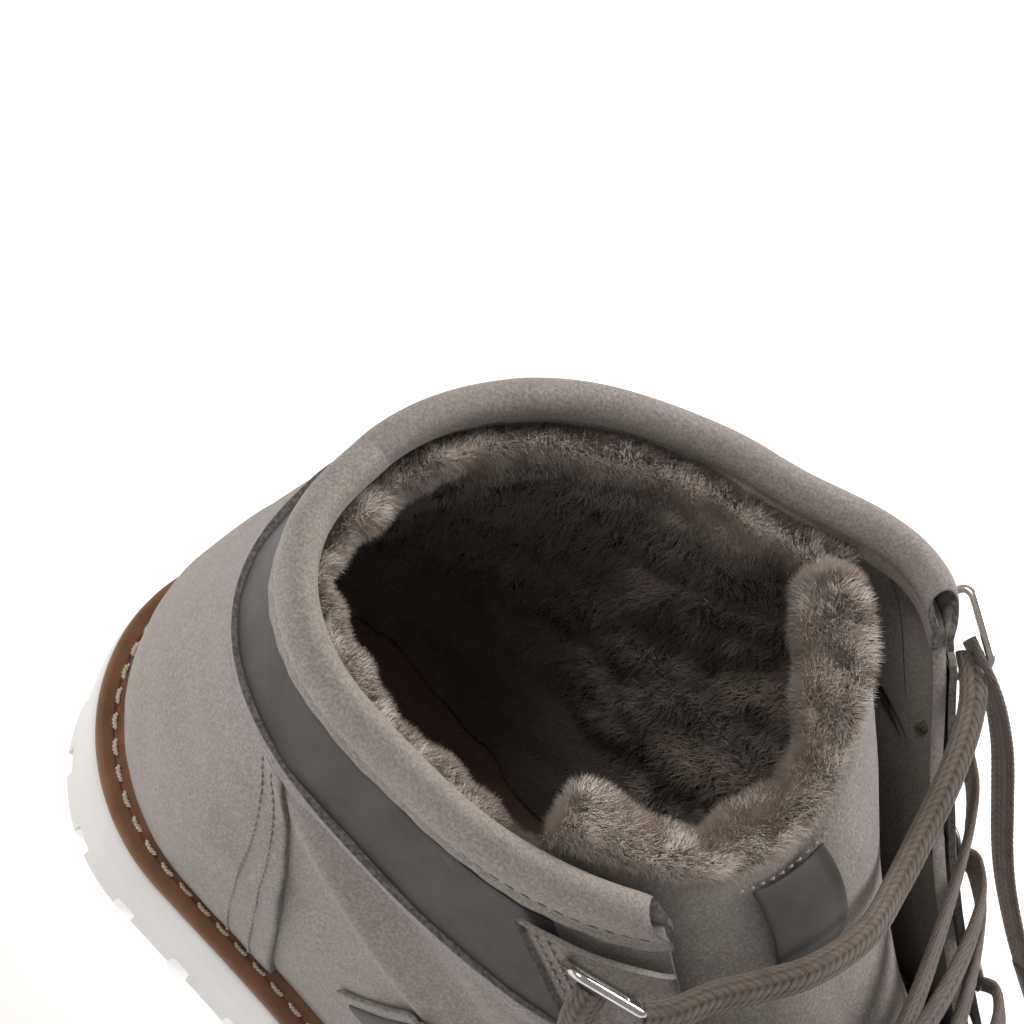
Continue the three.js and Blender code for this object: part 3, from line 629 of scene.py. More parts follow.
class Shader:
    """A material and its nodes."""

    def __init__(self, name: str, **values: float | Colour) -> None:
        """Make the material.

        Args:
            name: Name of the material.
            values: Fixed values of the surface's own sockets, with _ for a space.
        """
        self.material = bpy.data.materials.new(name)
        self.material.use_nodes = True
        self.nodes = self.material.node_tree.nodes
        self.nodes.clear()
        end = self.nodes.new("ShaderNodeOutputMaterial")
        self.surface = self.nodes.new("ShaderNodeBsdfPrincipled")
        self.link(self.surface.outputs[0], end.inputs["Surface"])
        for key, value in values.items():
            self.feed(key.replace("_", " "), value)

    def link(self, a: bpy.types.NodeSocket, b: bpy.types.NodeSocket) -> None:
        """Join two sockets."""
        self.material.node_tree.links.new(a, b)

    def put(self, socket: bpy.types.NodeSocket, value: "Wire | float | Colour") -> None:
        """Set a socket to a value or feed it by a wire."""
        if isinstance(value, Wire):
            self.link(value.socket, socket)
        elif isinstance(value, tuple) and len(value) == 3 and socket.type == "RGBA":
            socket.default_value = (*value, 1.0)
        else:
            socket.default_value = value

    def feed(self, name: str, value: "Wire | float | Colour") -> None:
        """Set or feed a socket of the surface."""
        self.put(self.surface.inputs[name], value)

    def add(self, kind: str, settings: dict, values: dict) -> Made:
        """Add a node.

        Args:
            kind: Blender's name of the node's type.
            settings: Its settings, which are set first; stops are a ramp's places and colours.
            values: Values or wires of its sockets, by name or number.

        Returns:
            The node.
        """
        node = self.nodes.new(kind)
        for key, value in settings.items():
            if key == "stops":
                ramp = node.color_ramp.elements
                while len(ramp) < len(value):
                    ramp.new(0.5)
                for stop, (where, colour) in zip(ramp, value):
                    stop.position = where
                    stop.color = (*colour, 1.0)
            else:
                setattr(node, key, value)
        for key, value in values.items():
            self.put(node.inputs[key], value)
        return Made(self, node)

    def place(self) -> Wire:
        """Object coordinates, in metres."""
        return self.add("ShaderNodeTexCoord", {}, {}).out("Object")

    def scaled(self, size: tuple[float, float, float]) -> Wire:
        """Object coordinates times a scale on each axis."""
        values = {"Vector": self.place(), "Scale": size}
        return self.add("ShaderNodeMapping", {}, values).out(0)

    def noise(self, size: float, detail: float = 3.0, where: Wire | None = None, **more: float) -> Wire:
        """Noise, 0 to 1.

        Args:
            size: Size of its spots in millimetres.
            detail: Levels of finer noise.
            where: Coordinates other than the object's.
            more: Other sockets of the node.

        Returns:
            The noise as a number.
        """
        values = {"Vector": where or self.place(), "Scale": 1 / (size * MM), "Detail": detail, **more}
        return self.add("ShaderNodeTexNoise", {}, values).out(0)

    def mark(self, name: str) -> Wire:
        """A number stored on the mesh."""
        return self.add("ShaderNodeAttribute", {"attribute_name": name}, {}).out("Fac")

    def blend(self, factor: Wire | float, a: Wire | Colour, b: Wire | Colour, how: str = "MIX") -> Wire:
        """Mix two colours."""
        settings = {"data_type": "RGBA", "blend_type": how}
        values = {"Factor": factor, 6: a, 7: b}
        return self.add("ShaderNodeMix", settings, values).out(2)

    def bump(self, height: Wire, depth: float, share: float = 1.0) -> None:
        """Bump the surface.

        Args:
            height: Height from 0 to 1.
            depth: What a height of 1 stands for, in millimetres.
            share: Strength of the bump.
        """
        values = {"Height": height, "Distance": depth * MM, "Strength": share}
        self.feed("Normal", self.add("ShaderNodeBump", {}, values).out(0))


# Finishes


@dataclass(frozen=True)
class Suede:
    """Suede with a short brushed nap and paler high spots."""

    name: str
    tone: Colour
    nap: float = 0.5
    raw: Colour = (0.2, 0.19, 0.185)

    def make(self) -> bpy.types.Material:
        """Build the material; the mark named cut shows the raw edge."""
        s = Shader(self.name, Roughness=0.95, Sheen_Weight=0.22, Sheen_Roughness=0.45)
        s.feed("Sheen Tint", paler(self.tone, 0.5))
        s.feed("Specular IOR Level", 0.15)
        fine = s.noise(0.55, 4.0, Roughness=0.7)
        brushed = s.noise(2.4, 3.0, s.scaled((1.0, 1.0, 0.55)), Distortion=1.2)
        broad = s.noise(26.0, 2.0)
        dark, pale = darker(self.tone, 0.3), paler(self.tone, 0.16)
        base = s.blend(fine.over(0.3, 0.72), dark, pale)
        base = s.blend(brushed.over(0.35, 0.7) * 0.28, base, darker(self.tone, 0.32))
        base = s.blend(broad.over(0.3, 0.7) * 0.22, base, paler(self.tone, 0.12))
        frayed = s.noise(0.8, 3.0)
        edge = s.blend(frayed.over(0.4, 0.6), darker(self.raw, 0.5), self.raw)
        s.feed("Base Color", s.blend(s.mark("cut"), base, edge))
        s.bump(fine * 0.65 + brushed * 0.35, 0.35, self.nap)
        return s.material


@dataclass(frozen=True)
class SmoothLeather:
    """Smooth leather with fine pores, faint scuffs and a soft shine."""

    name: str
    tone: Colour
    pore: float = 0.5
    shine: float = 0.5

    def make(self) -> bpy.types.Material:
        """Build the material."""
        s = Shader(self.name, Specular_IOR_Level=0.35)
        pores = s.noise(self.pore, 4.0, Roughness=0.65)
        cloud = s.noise(9.0, 4.0)
        scuff = s.noise(2.2, 5.0, s.scaled((0.35, 0.35, 1.6)), Distortion=0.6)
        dark, pale = darker(self.tone, 0.28), paler(self.tone, 0.07)
        base = s.blend(cloud.over(0.3, 0.7), dark, self.tone)
        base = s.blend(pores.over(0.55, 0.75) * 0.35, base, darker(self.tone, 0.6))
        base = s.blend(scuff.over(0.62, 0.8) * 0.4, base, pale)
        s.feed("Base Color", base)
        s.feed("Roughness", pores * 0.25 + (self.shine - 0.1))
        s.bump(pores * 0.7 + cloud * 0.3, 0.12, 0.35)
        return s.material


@dataclass(frozen=True)
class Rubber:
    """Matt moulded rubber with a fine grain and faint soiling."""

    name: str
    tone: Colour

    def make(self) -> bpy.types.Material:
        """Build the material."""
        s = Shader(self.name, Specular_IOR_Level=0.3)
        grain = s.noise(0.4, 3.0)
        cloud = s.noise(14.0, 3.0)
        base = s.blend(cloud.over(0.35, 0.75) * 0.5, self.tone, mix_tone(self.tone, (0.5, 0.4, 0.33), 0.16))
        s.feed("Base Color", base)
        s.feed("Roughness", grain * 0.15 + 0.5)
        s.bump(grain, 0.06, 0.3)
        return s.material


@dataclass(frozen=True)
class Fleece:
    """Sheepskin pile: darker at its roots, paler and warmer at the tips, in uneven locks, with painted
    shade down inside the boot.
    """

    name: str
    root: Colour
    tip: Colour
    bumped: bool = False

    def make(self) -> bpy.types.Material:
        """Build the material; the marks named tip, tone and deep come from the mesh, and deep is the share
        of painted shade.
        """
        s = Shader(self.name, Roughness=0.85, Sheen_Weight=0.25, Sheen_Roughness=0.4)
        s.feed("Specular IOR Level", 0.2)
        lock = s.noise(7.0, 3.0)
        grade = s.mark("tip") * 0.5 + s.mark("tone") * 0.4 + lock * 0.3 - 0.1
        warm = s.blend(lock.over(0.35, 0.65), self.tip, mix_tone(self.tip, (0.36, 0.21, 0.12), 0.3))
        base = s.blend(grade.clamp(), self.root, warm)
        # Painted shade: where the mark named deep is high, the colour is darkened towards a dark brown, as
        # down inside the boot.
        shade = mix_tone(self.root, (0.06, 0.043, 0.036), 0.66)
        s.feed("Base Color", s.blend(s.mark("deep") * 0.85, base, shade))
        if self.bumped:
            fibre = s.noise(0.7, 4.0, s.scaled((1.0, 1.0, 0.5)), Distortion=1.5)
            s.bump(fibre, 1.2, 0.9)
        return s.material


@dataclass(frozen=True)
class Braid:
    """Flat braided cord: crossing yarns of one tone, with painted shade in the gaps between them and a
    painted highlight on their crests.
    """

    name: str
    tone: Colour

    def make(self) -> bpy.types.Material:
        """Build the material; the mark named yarn comes from the mesh and gives the braid's relief, which
        the painted shade and highlight follow.
        """
        s = Shader(self.name, Roughness=0.9, Sheen_Weight=0.2, Sheen_Roughness=0.5)
        s.feed("Specular IOR Level", 0.15)
        fibre = s.noise(0.22, 4.0)
        patch = s.noise(3.0, 2.0)
        yarn = s.mark("yarn")
        # Painted shade and highlight: darker in the gaps between the yarns, paler on their crests, after
        # the mark named yarn.
        dark, pale = darker(self.tone, 0.66), mix_tone(self.tone, (0.7, 0.61, 0.53), 0.24)
        base = s.blend((yarn * 0.8 + fibre * 0.7 - 0.35).clamp(), dark, pale)
        base = s.blend(patch.over(0.45, 0.7) * 0.4, base, darker(self.tone, 0.3))
        s.feed("Base Color", base)
        s.bump(fibre, 0.25, 0.6)
        return s.material


@dataclass(frozen=True)
class Metal:
    """Plated or rolled metal with a faint haze."""

    name: str
    tone: Colour
    rough: float

    def make(self) -> bpy.types.Material:
        """Build the material."""
        s = Shader(self.name, Metallic=1.0)
        haze = s.noise(1.6, 3.0)
        base = s.blend(haze.over(0.3, 0.8) * 0.5, self.tone, darker(self.tone, 0.35))
        s.feed("Base Color", base)
        s.feed("Roughness", haze * 0.15 + self.rough)
        return s.material


@dataclass(frozen=True)
class Thread:
    """Sewing thread of twisted plies."""

    name: str
    tone: Colour

    def make(self) -> bpy.types.Material:
        """Build the material."""
        s = Shader(self.name, Roughness=0.8)
        fibre = s.noise(0.25, 3.0)
        s.feed("Base Color", s.blend(fibre.over(0.3, 0.7), darker(self.tone, 0.45), self.tone))
        s.bump(fibre, 0.12, 0.6)
        return s.material


class Finish(Enum):
    """The boot's finishes, each with its slot."""

    SUEDE = ("suede", Suede("brushed_suede", grey_hex("a0968d")))
    RUBBER = ("rubber", Rubber("pale_rubber", (0.86, 0.835, 0.81)))
    WELT = ("welt_leather", SmoothLeather("welt_leather", grey_hex("8b6245"), 0.35, 0.55))
    BAND = ("band_leather", SmoothLeather("band_leather", grey_hex("514d4a"), 0.4, 0.5))
    PILE = ("fleece", Fleece("pile_fibres", grey_hex("d6c6b9"), grey_hex("f6ece2")))
    SKIN = ("fleece", Fleece("pile_ground", grey_hex("b3a396"), grey_hex("d8cabd"), True))
    INSOLE = ("insole_fleece", Fleece("insole_pile", grey_hex("7a5a50"), grey_hex("b08a7c"), True))
    LACE = ("lace", Braid("braided_lace", grey_hex("6a5d53")))
    STEEL = ("steel", Metal("polished_steel", (0.72, 0.69, 0.67), 0.12))
    EYELET = ("eyelet_metal", Metal("dark_eyelet", (0.2, 0.18, 0.165), 0.3))
    CREAM = ("lace", Thread("cream_thread", grey_hex("ece0cb")))
    SEAM = ("suede", Thread("seam_thread", grey_hex("b9ada0")))

    def __init__(self, slot: str, look: object) -> None:
        """Keep the slot and the look, whose material is built when first used."""
        self.slot = slot
        self.look = look
        self.built: bpy.types.Material | None = None

    @property
    def material(self) -> bpy.types.Material:
        """The finish's material."""
        if self.built is None:
            self.built = self.look.make()
        return self.built


def wear(piece: bpy.types.Object, finish: Finish, *nodes: str) -> bpy.types.Object:
    """Dress a new piece and let it ride on the boot.

    Args:
        piece: The piece.
        finish: Its finish.
        nodes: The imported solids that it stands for.

    Returns:
        The same piece.
    """
    piece.data.materials.append(finish.material)
    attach(piece, "root")
    if nodes:
        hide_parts(*nodes)
    faces = len(piece.data.polygons)
    LOG.info("%s: %d faces, %s", piece.name, faces, finish.name.lower())
    return piece


# Pieces


WALL = 2.6
FLEECE_BACK = WALL + 0.3
TURN = 2 * math.pi
RADIAN = 42.0  # millimetres along a course near the collar for a radian of its angle
STITCH_OFF = 0.1


def throat_edge(level: Array, side: str) -> Array:
    """Angle of the throat's edge on one side; below the throat it is 0."""
    return LAST.throat.at(level, side) * ease(level, 0.612, 0.63)


def unevenly(start: float, end: float, count: int, *dense: tuple[float, float, float]) -> Array:
    """Values from start to end, closer together round some places.

    Args:
        start: First value.
        end: Last value.
        count: How many values.
        dense: Place, reach and how many times closer, for each.

    Returns:
        The values.
    """
    fine = np.linspace(start, end, 4000)
    weight = np.ones_like(fine) + sum((k - 1) * bell(fine, place, reach) for place, reach, k in dense)
    run = np.concatenate([[0], np.cumsum((weight[1:] + weight[:-1]) / 2)])
    return np.interp(np.linspace(0, run[-1], count), run, fine)


@dataclass
class Crease:
    """Soft ridge or trough of the upper, straight between two places of level and angle."""

    level_a: float
    angle_a: float
    level_b: float
    angle_b: float
    width: float
    height: float
    levels_per_radian: float = 0.35

    def at(self, level: Array, angle: Array) -> Array:
        """Height that it adds; its width is in levels, to which angles are scaled."""
        a = np.array([self.level_a, self.angle_a * self.levels_per_radian])
        b = np.array([self.level_b, self.angle_b * self.levels_per_radian])
        p = np.stack([level, angle * self.levels_per_radian], -1) - a
        run = b - a
        t = np.clip((p @ run) / (run @ run), 0, 1)
        away = np.linalg.norm(p - t[..., None] * run, axis=-1)
        fade = np.sin(np.pi * np.clip(t * 0.9 + 0.05, 0, 1)) ** 0.5
        return self.height * fade * np.exp(-((away / self.width) ** 2))


@dataclass
class Upper:
    """Suede upper: vamp and quarters in one skin, with heel counter, eyestays and ankle band."""

    band_low: float = 0.8
    band_high: float = 0.945
    band_lift: float = 1.0
    edge_lift: float = 2.1
    counter_lift: float = 1.6
    stay_lift: float = 2.2
    swell: float = 0.3
    swell_length: float = 34.0
    panel_swell: float = 0.12
    panel_swell_length: float = 12.0
    seam_pitch: float = 2.1
    seam_stitch: float = 1.5
    patch_levels: tuple[float, float] = (0.3, 0.57)
    patch_rear: float = -72.0
    patch_slant: float = 11.0
    patch_length: float = 32.0
    patch_rim: float = 2.2

    creases: tuple[Crease, ...] = (
        Crease(0.77, TURN - 2.18, 0.5, TURN - 1.64, 0.026, 1.9),
        Crease(0.77, TURN - 1.92, 0.6, TURN - 1.46, 0.05, -2.4),
        Crease(0.55, 0.3, 0.5, 1.1, 0.03, -1.0),
        Crease(0.5, -0.35 + TURN, 0.46, -1.15 + TURN, 0.03, -0.9),
        Crease(0.7, 2.35, 0.35, 1.85, 0.05, 1.0),
    )

    def rear_edge(self, level: Array) -> Array:
        """Angle of the eyestays' rear edge."""
        return LAST.eyestay.at(level, "angle")

    def offset(self, level: Array, angle: Array) -> Array:
        """Relief of the skin: creases, a soft uneven body and the lifted edge below the band."""
        total = sum(c.at(level, angle) for c in self.creases)
        total = total + self.swell * Waves(3, self.swell_length).at(LAST.face(level, angle))
        around = ease(np.minimum(angle, TURN - angle), 1.0, 1.35)
        rise = ease(level, self.band_low - 0.05, self.band_low - 0.012)
        lip = np.where(level < self.band_low - 0.0005, rise, 0)
        ridge = self.edge_lift * lip * around
        low = ease(level, 0.0, 0.05)
        return ridge + total * low * (1 - ease(level, 0.76, 0.8) * around)

    def build(self) -> None:
        """Build and dress every suede and leather panel."""
        levels = np.concatenate([
            unevenly(0, self.band_low - 0.0008, 96, (self.band_low, 0.03, 3), (0.63, 0.03, 2.5)),
            [self.band_low, self.band_low + 0.004],
            unevenly(self.band_low + 0.008, 1.0, 24),
        ])

        def turn(u: Array, v: Array) -> Array:
            return mix(throat_edge(v, "medial"), TURN - throat_edge(v, "lateral"), u)

        def place(u: Array, v: Array) -> Array:
            angle = turn(u, v)
            return LAST.point(v, angle, self.offset(v, angle))

        def cut(u: Array, v: Array) -> Array:
            angle = turn(u, v)
            around = ease(np.minimum(angle, TURN - angle), 1.1, 1.3)
            return bell(v, self.band_low - 0.0004, 0.0012) * around

        columns = unevenly(0, 1, 300, (0, 0.02, 2), (1, 0.02, 2))
        skin = sheet_of("suede_upper", columns, levels, place, {"cut": cut}, ring=True)
        thicken(skin, WALL - 0.3, hidden=True)
        wear(skin, Finish.SUEDE, "upper")
        self.build_counter()
        self.build_band()
        self.build_stays()
        self.build_patch()

    def panel(
        self, name: str, levels: Array, span: Callable[[Array], tuple[Array, Array]],
        lift: float, columns: int, finish: Finish, depth: float, *nodes: str,
    ) -> bpy.types.Object:
        """Panel sewn over the skin.

        Args:
            name: Name of the piece.
            levels: Its levels.
            span: Both end angles at a level.
            lift: Height of its face over the skin's plain face.
            columns: How many columns it has.
            finish: Its finish.
            depth: Its thickness.
            nodes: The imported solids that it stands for.

        Returns:
            The panel.
        """
        def from_edge(u: Array) -> Array:
            return np.minimum(u, 1 - u) * (columns - 1)

        def place(u: Array, v: Array) -> Array:
            angle = mix(*span(v), u)
            wave = self.panel_swell * Waves(7, self.panel_swell_length).at(LAST.face(v, angle))
            off = lift + wave - 0.25 * np.exp(-from_edge(u) * 1.2)
            turn = np.where(angle < 0, angle + TURN, angle)
            return LAST.point(v, angle, off + self.creased(v, turn))

        def cut(u: Array, v: Array) -> Array:
            return np.exp(-from_edge(u) * 2.5) * 0.8

        piece = sheet_of(name, np.linspace(0, 1, columns), levels, place, {"cut": cut})
        thicken(piece, depth, 0.25, hidden=True)
        return wear(piece, finish, *nodes)

    def creased(self, level: Array, angle: Array) -> Array:
        """Relief that panels share with the skin."""
        return sum(c.at(level, angle) for c in self.creases) * ease(level, 0.0, 0.05)

    def build_counter(self) -> None:
        """Heel counter round the back."""
        def span(level: Array) -> tuple[Array, Array]:
            seam = LAST.angle_at(level, LAST.counter.at(level, "x"))
            return seam, TURN - seam

        levels = np.linspace(0.012, 0.776, 70)
        lift = self.counter_lift
        self.panel("heel_counter_suede", levels, span, lift, 190, Finish.SUEDE, 1.3, "heel_counter")
        for row, away in enumerate((2.0, 4.2)):
            for side in (1, -1):
                def route(t: Array, side: int = side, away: float = away) -> Array:
                    level = mix(0.03, 0.768, t)
                    seam = LAST.angle_at(level, LAST.counter.at(level, "x"))
                    angle = seam + away / RADIAN
                    turn = angle if side > 0 else TURN - angle
                    off = self.counter_lift + STITCH_OFF + self.creased(level, turn)
                    return LAST.point(level, side * angle, off)
                name = f"counter_stitches_{'inner' if side > 0 else 'outer'}_{row + 1}"
                stitch_row(name, route, self.seam_pitch, self.seam_stitch, 0.3, Finish.SEAM)

    def build_band(self) -> None:
        """Smooth leather band inlaid under the collar."""
        def span(level: Array) -> tuple[Array, Array]:
            return self.rear_edge(level) - 0.1, TURN - self.rear_edge(level) + 0.1

        levels = np.linspace(self.band_low - 0.012, self.band_high + 0.015, 16)
        self.panel("ankle_band_leather", levels, span, self.band_lift, 150, Finish.BAND, 0.9, "ankle_band")

    def build_stays(self) -> None:
        """Eyestays along the throat, with two rows of stitches at the rear edge."""
        for side, edge, name in ((1, "medial", "inner"), (-1, "lateral", "outer")):
            def span(level: Array, side: int = side, edge: str = edge) -> tuple[Array, Array]:
                return side * LAST.throat.at(level, edge), side * self.rear_edge(level)

            levels = np.linspace(0.655, 0.955, 60)
            node = "eyestay_medial" if side > 0 else "eyestay_lateral"
            self.panel(f"eyestay_{name}", levels, span, self.stay_lift, 34, Finish.SUEDE, 1.3, node)
            for row, away in enumerate((1.5, 3.2)):
                def route(t: Array, side: int = side, away: float = away) -> Array:
                    level = mix(0.94, 0.68, t)
                    angle = side * (self.rear_edge(level) - away / RADIAN)
                    return LAST.point(level, angle, self.stay_lift + STITCH_OFF)
                title = f"eyestay_stitches_{name}_{row + 1}"
                stitch_row(title, route, self.seam_pitch, self.seam_stitch, 0.28, Finish.SEAM)

    def build_patch(self) -> None:
        """Plain sewn patch on the outer quarter: a dark field in a pale rim."""
        low, high = self.patch_levels

        def span(level: Array, inset: float = 0.0) -> tuple[Array, Array]:
            rear = self.patch_rear + self.patch_slant * ((level - low) / (high - low))
            front = rear + (self.patch_length - inset)
            return -LAST.angle_at(level, rear + inset), -LAST.angle_at(level, front)

        def field(level: Array) -> tuple[Array, Array]:
            return span(level, self.patch_rim)

        self.panel("side_patch_rim", np.linspace(low, high, 30), span, 1.5, 40, Finish.SUEDE, 0.9)
        levels = np.linspace(low + 0.022, high - 0.022, 26)
        self.panel("side_patch_field", levels, field, 2.2, 36, Finish.BAND, 0.6, "side_patch")


INSIDE = np.array([-40.0, 2.0, 60.0])  # a point inside the boot, which seams look away from


def stitch_row(
    name: str, route: Callable[[Array], Array], pitch: float, length: float, radius: float,
    finish: Finish, plies: int = 1, rise: float = 0.25,
) -> bpy.types.Object:
    """Row of stitches along a route.

    Args:
        name: Name of the piece.
        route: Point at a share of the way along.
        pitch: Distance from one stitch to the next.
        length: Length of the thread that shows.
        radius: Radius of the thread.
        finish: Its finish.
        plies: 1 for a plain thread, 2 for two twisted plies.
        rise: How far the thread's middle stands above its ends.

    Returns:
        The row, as one piece.
    """
    fine = np.linspace(0, 1, 1200)
    line = route(fine)
    run = np.concatenate([[0], np.cumsum(np.linalg.norm(np.diff(line, axis=0), axis=1))])
    count = max(2, int(run[-1] / pitch))
    middles = (np.arange(count) + 0.5) * run[-1] / count
    sides, rings = (6, 9) if plies > 1 else (5, 5)
    t = np.linspace(-1, 1, rings)
    where = middles[:, None] + t[None, :] * length / 2
    along = np.stack([np.interp(where, run, line[:, k]) for k in range(3)], -1)
    ahead = unit(np.gradient(along, axis=1))
    out = unit(along - INSIDE)
    up = unit(out - (out * ahead).sum(-1, keepdims=True) * ahead)
    side = np.cross(ahead, up)
    centre = along + up * (rise * (1 - t**2) - 0.05)[None, :, None]
    body = radius * np.sqrt(np.maximum(0.05, 1 - t**4))
    turn = np.linspace(0, TURN, sides, endpoint=False)
    points, faces, start = [], [], 0
    for ply in range(plies):
        twist = np.pi * (ply + 2.2 * t)
        shift = radius * 0.55 if plies > 1 else 0.0
        across, high = (shift * f(twist)[None, :, None] for f in (np.cos, np.sin))
        mid = centre + side * across + up * high
        ring = mid[:, :, None, :] + body[None, :, None, None] * (
            side[:, :, None, :] * np.cos(turn)[None, None, :, None]
            + up[:, :, None, :] * np.sin(turn)[None, None, :, None]
        )
        points.append(ring.reshape(-1, 3))
        base = np.arange(count)[:, None, None] * rings * sides + start
        ring_i = np.arange(rings - 1)[None, :, None] * sides
        a = base + ring_i + np.arange(sides)[None, None, :]
        b = base + ring_i + (np.arange(sides)[None, None, :] + 1) % sides
        faces.append(np.stack([a, b, b + sides], -1).reshape(-1, 3))
        faces.append(np.stack([a, b + sides, a + sides], -1).reshape(-1, 3))
        start += count * rings * sides
    piece = strips(name, np.concatenate(points), np.concatenate(faces), {})
    return wear(piece, finish)


@dataclass
class Collar:
    """Padded collar roll: a suede strip turned over a pad, sewn down along its outer edge."""

    corner: float = 0.79
    thickness: float = 1.2
    around: float = 300.0
    end_slant: float = 3.2
    end_hollow: float = 6.6
    end_reach: float = 7.0
    pitch: float = 2.9
    stitch: float = 2.0
    seam_share: float = 0.128
    section: tuple[tuple[float, float], ...] = (
        (3.0, -3.5), (3.1, -2.5), (3.0, -1.4), (3.4, -0.3), (4.3, 1.0), (4.9, 2.8), (4.8, 4.8),
        (3.7, 6.6), (1.8, 7.5), (-0.1, 7.0), (-1.4, 5.5), (-1.8, 3.7), (-1.55, 2.3), (-1.1, 1.5),
        (-1.5, 0.9), (-1.75, -0.3), (-1.9, -1.8),
    )

    def frame_at(self, angle: Array) -> tuple[Array, Array, Array]:
        """Origin, out arrow and up arrow along the collar's top edge."""
        level = np.ones_like(angle)
        origin = LAST.point(level, angle, np.full_like(angle, -WALL / 2))
        out = LAST.normal(level, angle)
        along = unit(LAST.face(level, angle + 0.01) - LAST.face(level, angle - 0.01))
        up = unit(np.cross(out, along))
        up = np.where(up[..., 2:] < 0, -up, up)
        return origin, out, up

    def section_at(self, share: Array) -> tuple[Array, Array]:
        """Out and up of the section at a share of its length."""
        path = smooth_path([(a, b, 0) for a, b in self.section], 200)
        at = np.linspace(0, 1, 200)
        return np.interp(share, at, path[:, 0]), np.interp(share, at, path[:, 1])

    def build(self) -> None:
        """Build the roll and its stitches."""
        ends = (self.corner, TURN - self.corner)
        puff = Waves(11, 30)

        def from_end(u: Array) -> Array:
            return np.minimum(u, 1 - u) * self.around

        def place(u: Array, v: Array) -> Array:
            out_by, up_by = self.section_at(v)
            angle = mix(ends[0], ends[1], u)
            run, ahead = u * self.around, from_end(u)
            slant = self.end_slant - self.end_hollow * np.sin(np.pi * v) ** 1.5
            sign = np.where(u < 0.5, -1.0, 1.0)
            angle = angle + sign * (slant * np.exp(-ahead / self.end_reach)) / RADIAN
            origin, out, up = self.frame_at(angle)
            dimple = 0.16 * np.cos(TURN * run / self.pitch) * bell(v, 0.135, 0.05)
            wavy = 0.28 * np.sin(run / 1.9) * np.sin(run / 4.3 + 1) * bell(v, 0.0, 0.06)
            soft = 0.35 * puff.at(origin) * np.sin(np.pi * np.clip(v, 0, 1))
            crumple = 1 - 0.18 * np.exp(-ahead / 3.5)
            out_by = out_by * crumple + dimple + soft
            up_by = up_by * (1 - 0.12 * np.exp(-ahead / 4)) + wavy
            return origin + out * out_by[..., None] + up * up_by[..., None]

        def cut(u: Array, v: Array) -> Array:
            return np.clip(bell(v, 0, 0.012) + np.exp(-from_end(u) / 0.5), 0, 1)

        columns = unevenly(0, 1, 360, (0, 0.02, 2), (1, 0.02, 2))
        rows = unevenly(0, 1, 50, (0.12, 0.06, 2))
        roll = sheet_of("collar_roll_suede", columns, rows, place, {"cut": cut})
        thicken(roll, self.thickness, 0.25)
        wear(roll, Finish.SUEDE, "collar_roll")

        def route(t: Array) -> Array:
            angle = mix(ends[0] + 0.02, ends[1] - 0.02, t)
            origin, out, up = self.frame_at(angle)
            out_by, up_by = self.section_at(np.full_like(t, self.seam_share))
            return origin + out * (out_by + STITCH_OFF)[..., None] + up * up_by[..., None]

        stitch_row("collar_stitches", route, self.pitch, self.stitch, 0.24, Finish.SEAM)


@dataclass
class Pile:
    """Fine fibres of a fleece over a surface, brushed into locks."""

    name: str
    count: int
    length: float
    width: float
    seed: int
    lock: float = 8.5
    pull: float = 0.26
    wild: float = 0.34
    cells: tuple[int, int] = (420, 150)

    def grow(
        self, place: Place, reach: tuple[float, float, float, float], lean: Place, deep: Place,
    ) -> bpy.types.Object:
        """Grow the fibres.

        Args:
            place: Surface that they stand on, in millimetres.
            reach: Lowest and highest of both parameters.
            lean: Arrow that the fibres lean along, added to the surface's normal.
            deep: Share of painted shade at a place.

        Returns:
            The fibres, as one piece.
        """
        rng = np.random.default_rng(self.seed)
        wide, high = self.cells
        u, v = np.meshgrid(np.linspace(*reach[:2], wide + 1), np.linspace(*reach[2:], high + 1))
        ground = place(u, v)
        normal = np.cross(np.gradient(ground, axis=1), np.gradient(ground, axis=0))
        area = np.linalg.norm(normal, axis=-1)[:-1, :-1].ravel()
        normal = unit(normal)
        pull = self.swirl(ground, self.lock, 1) + 0.3 * self.swirl(ground, self.lock * 0.4, 4)
        pull = pull - (pull * normal).sum(-1, keepdims=True) * normal
        lay = unit(normal + lean(u, v) + self.pull * pull)
        row, column = np.divmod(rng.choice(len(area), self.count, p=area / area.sum()), wide)
        a, b = rng.uniform(size=(2, self.count, 1))

        def read(field: Array) -> Array:
            low = mix(field[row, column], field[row, column + 1], a)
            return mix(low, mix(field[row + 1, column], field[row + 1, column + 1], a), b)

        root, up = read(ground), unit(read(normal))
        wild = rng.normal(size=root.shape)
        ahead = unit(read(lay) + self.wild * wild)
        length = (self.length * rng.uniform(0.55, 1.1, self.count))[:, None]
        side = unit(np.cross(ahead, up + 0.5 * wild[:, ::-1]))
        half = side * (self.width / 2 * rng.uniform(0.7, 1.3, self.count))[:, None]
        root = root - ahead * 0.12 * length
        points = np.stack([root - half, root + half, root + ahead * length], 1)
        shine = np.repeat(unit(up + 0.16 * wild + 0.15 * ahead), 3, axis=0)
        faces = np.arange(self.count * 3).reshape(-1, 3)
        marks = {
            "tip": np.tile([0.0, 0.0, 1.0], self.count),
            "tone": np.repeat(rng.uniform(0, 1, self.count), 3),
            "deep": np.repeat(read(deep(u, v)[..., None])[:, 0], 3),
        }
        return strips(self.name, points.reshape(-1, 3), faces, marks, shine)

    def swirl(self, ground: Array, size: float, seed: int) -> Array:
        """Random arrows that turn softly from place to place."""
        fields = [Waves(self.seed * 10 + seed + k, size).at(ground) for k in range(3)]
        return np.stack(fields, -1)


def dome(share: Array) -> tuple[Array, Array]:
    """Way across and height of a round top, both 0 to 1, at a share of its arc."""
    s = np.clip(share, 0, 1)
    return (1 - np.cos(np.pi * s)) / 2, np.sin(np.pi * s) ** 0.85


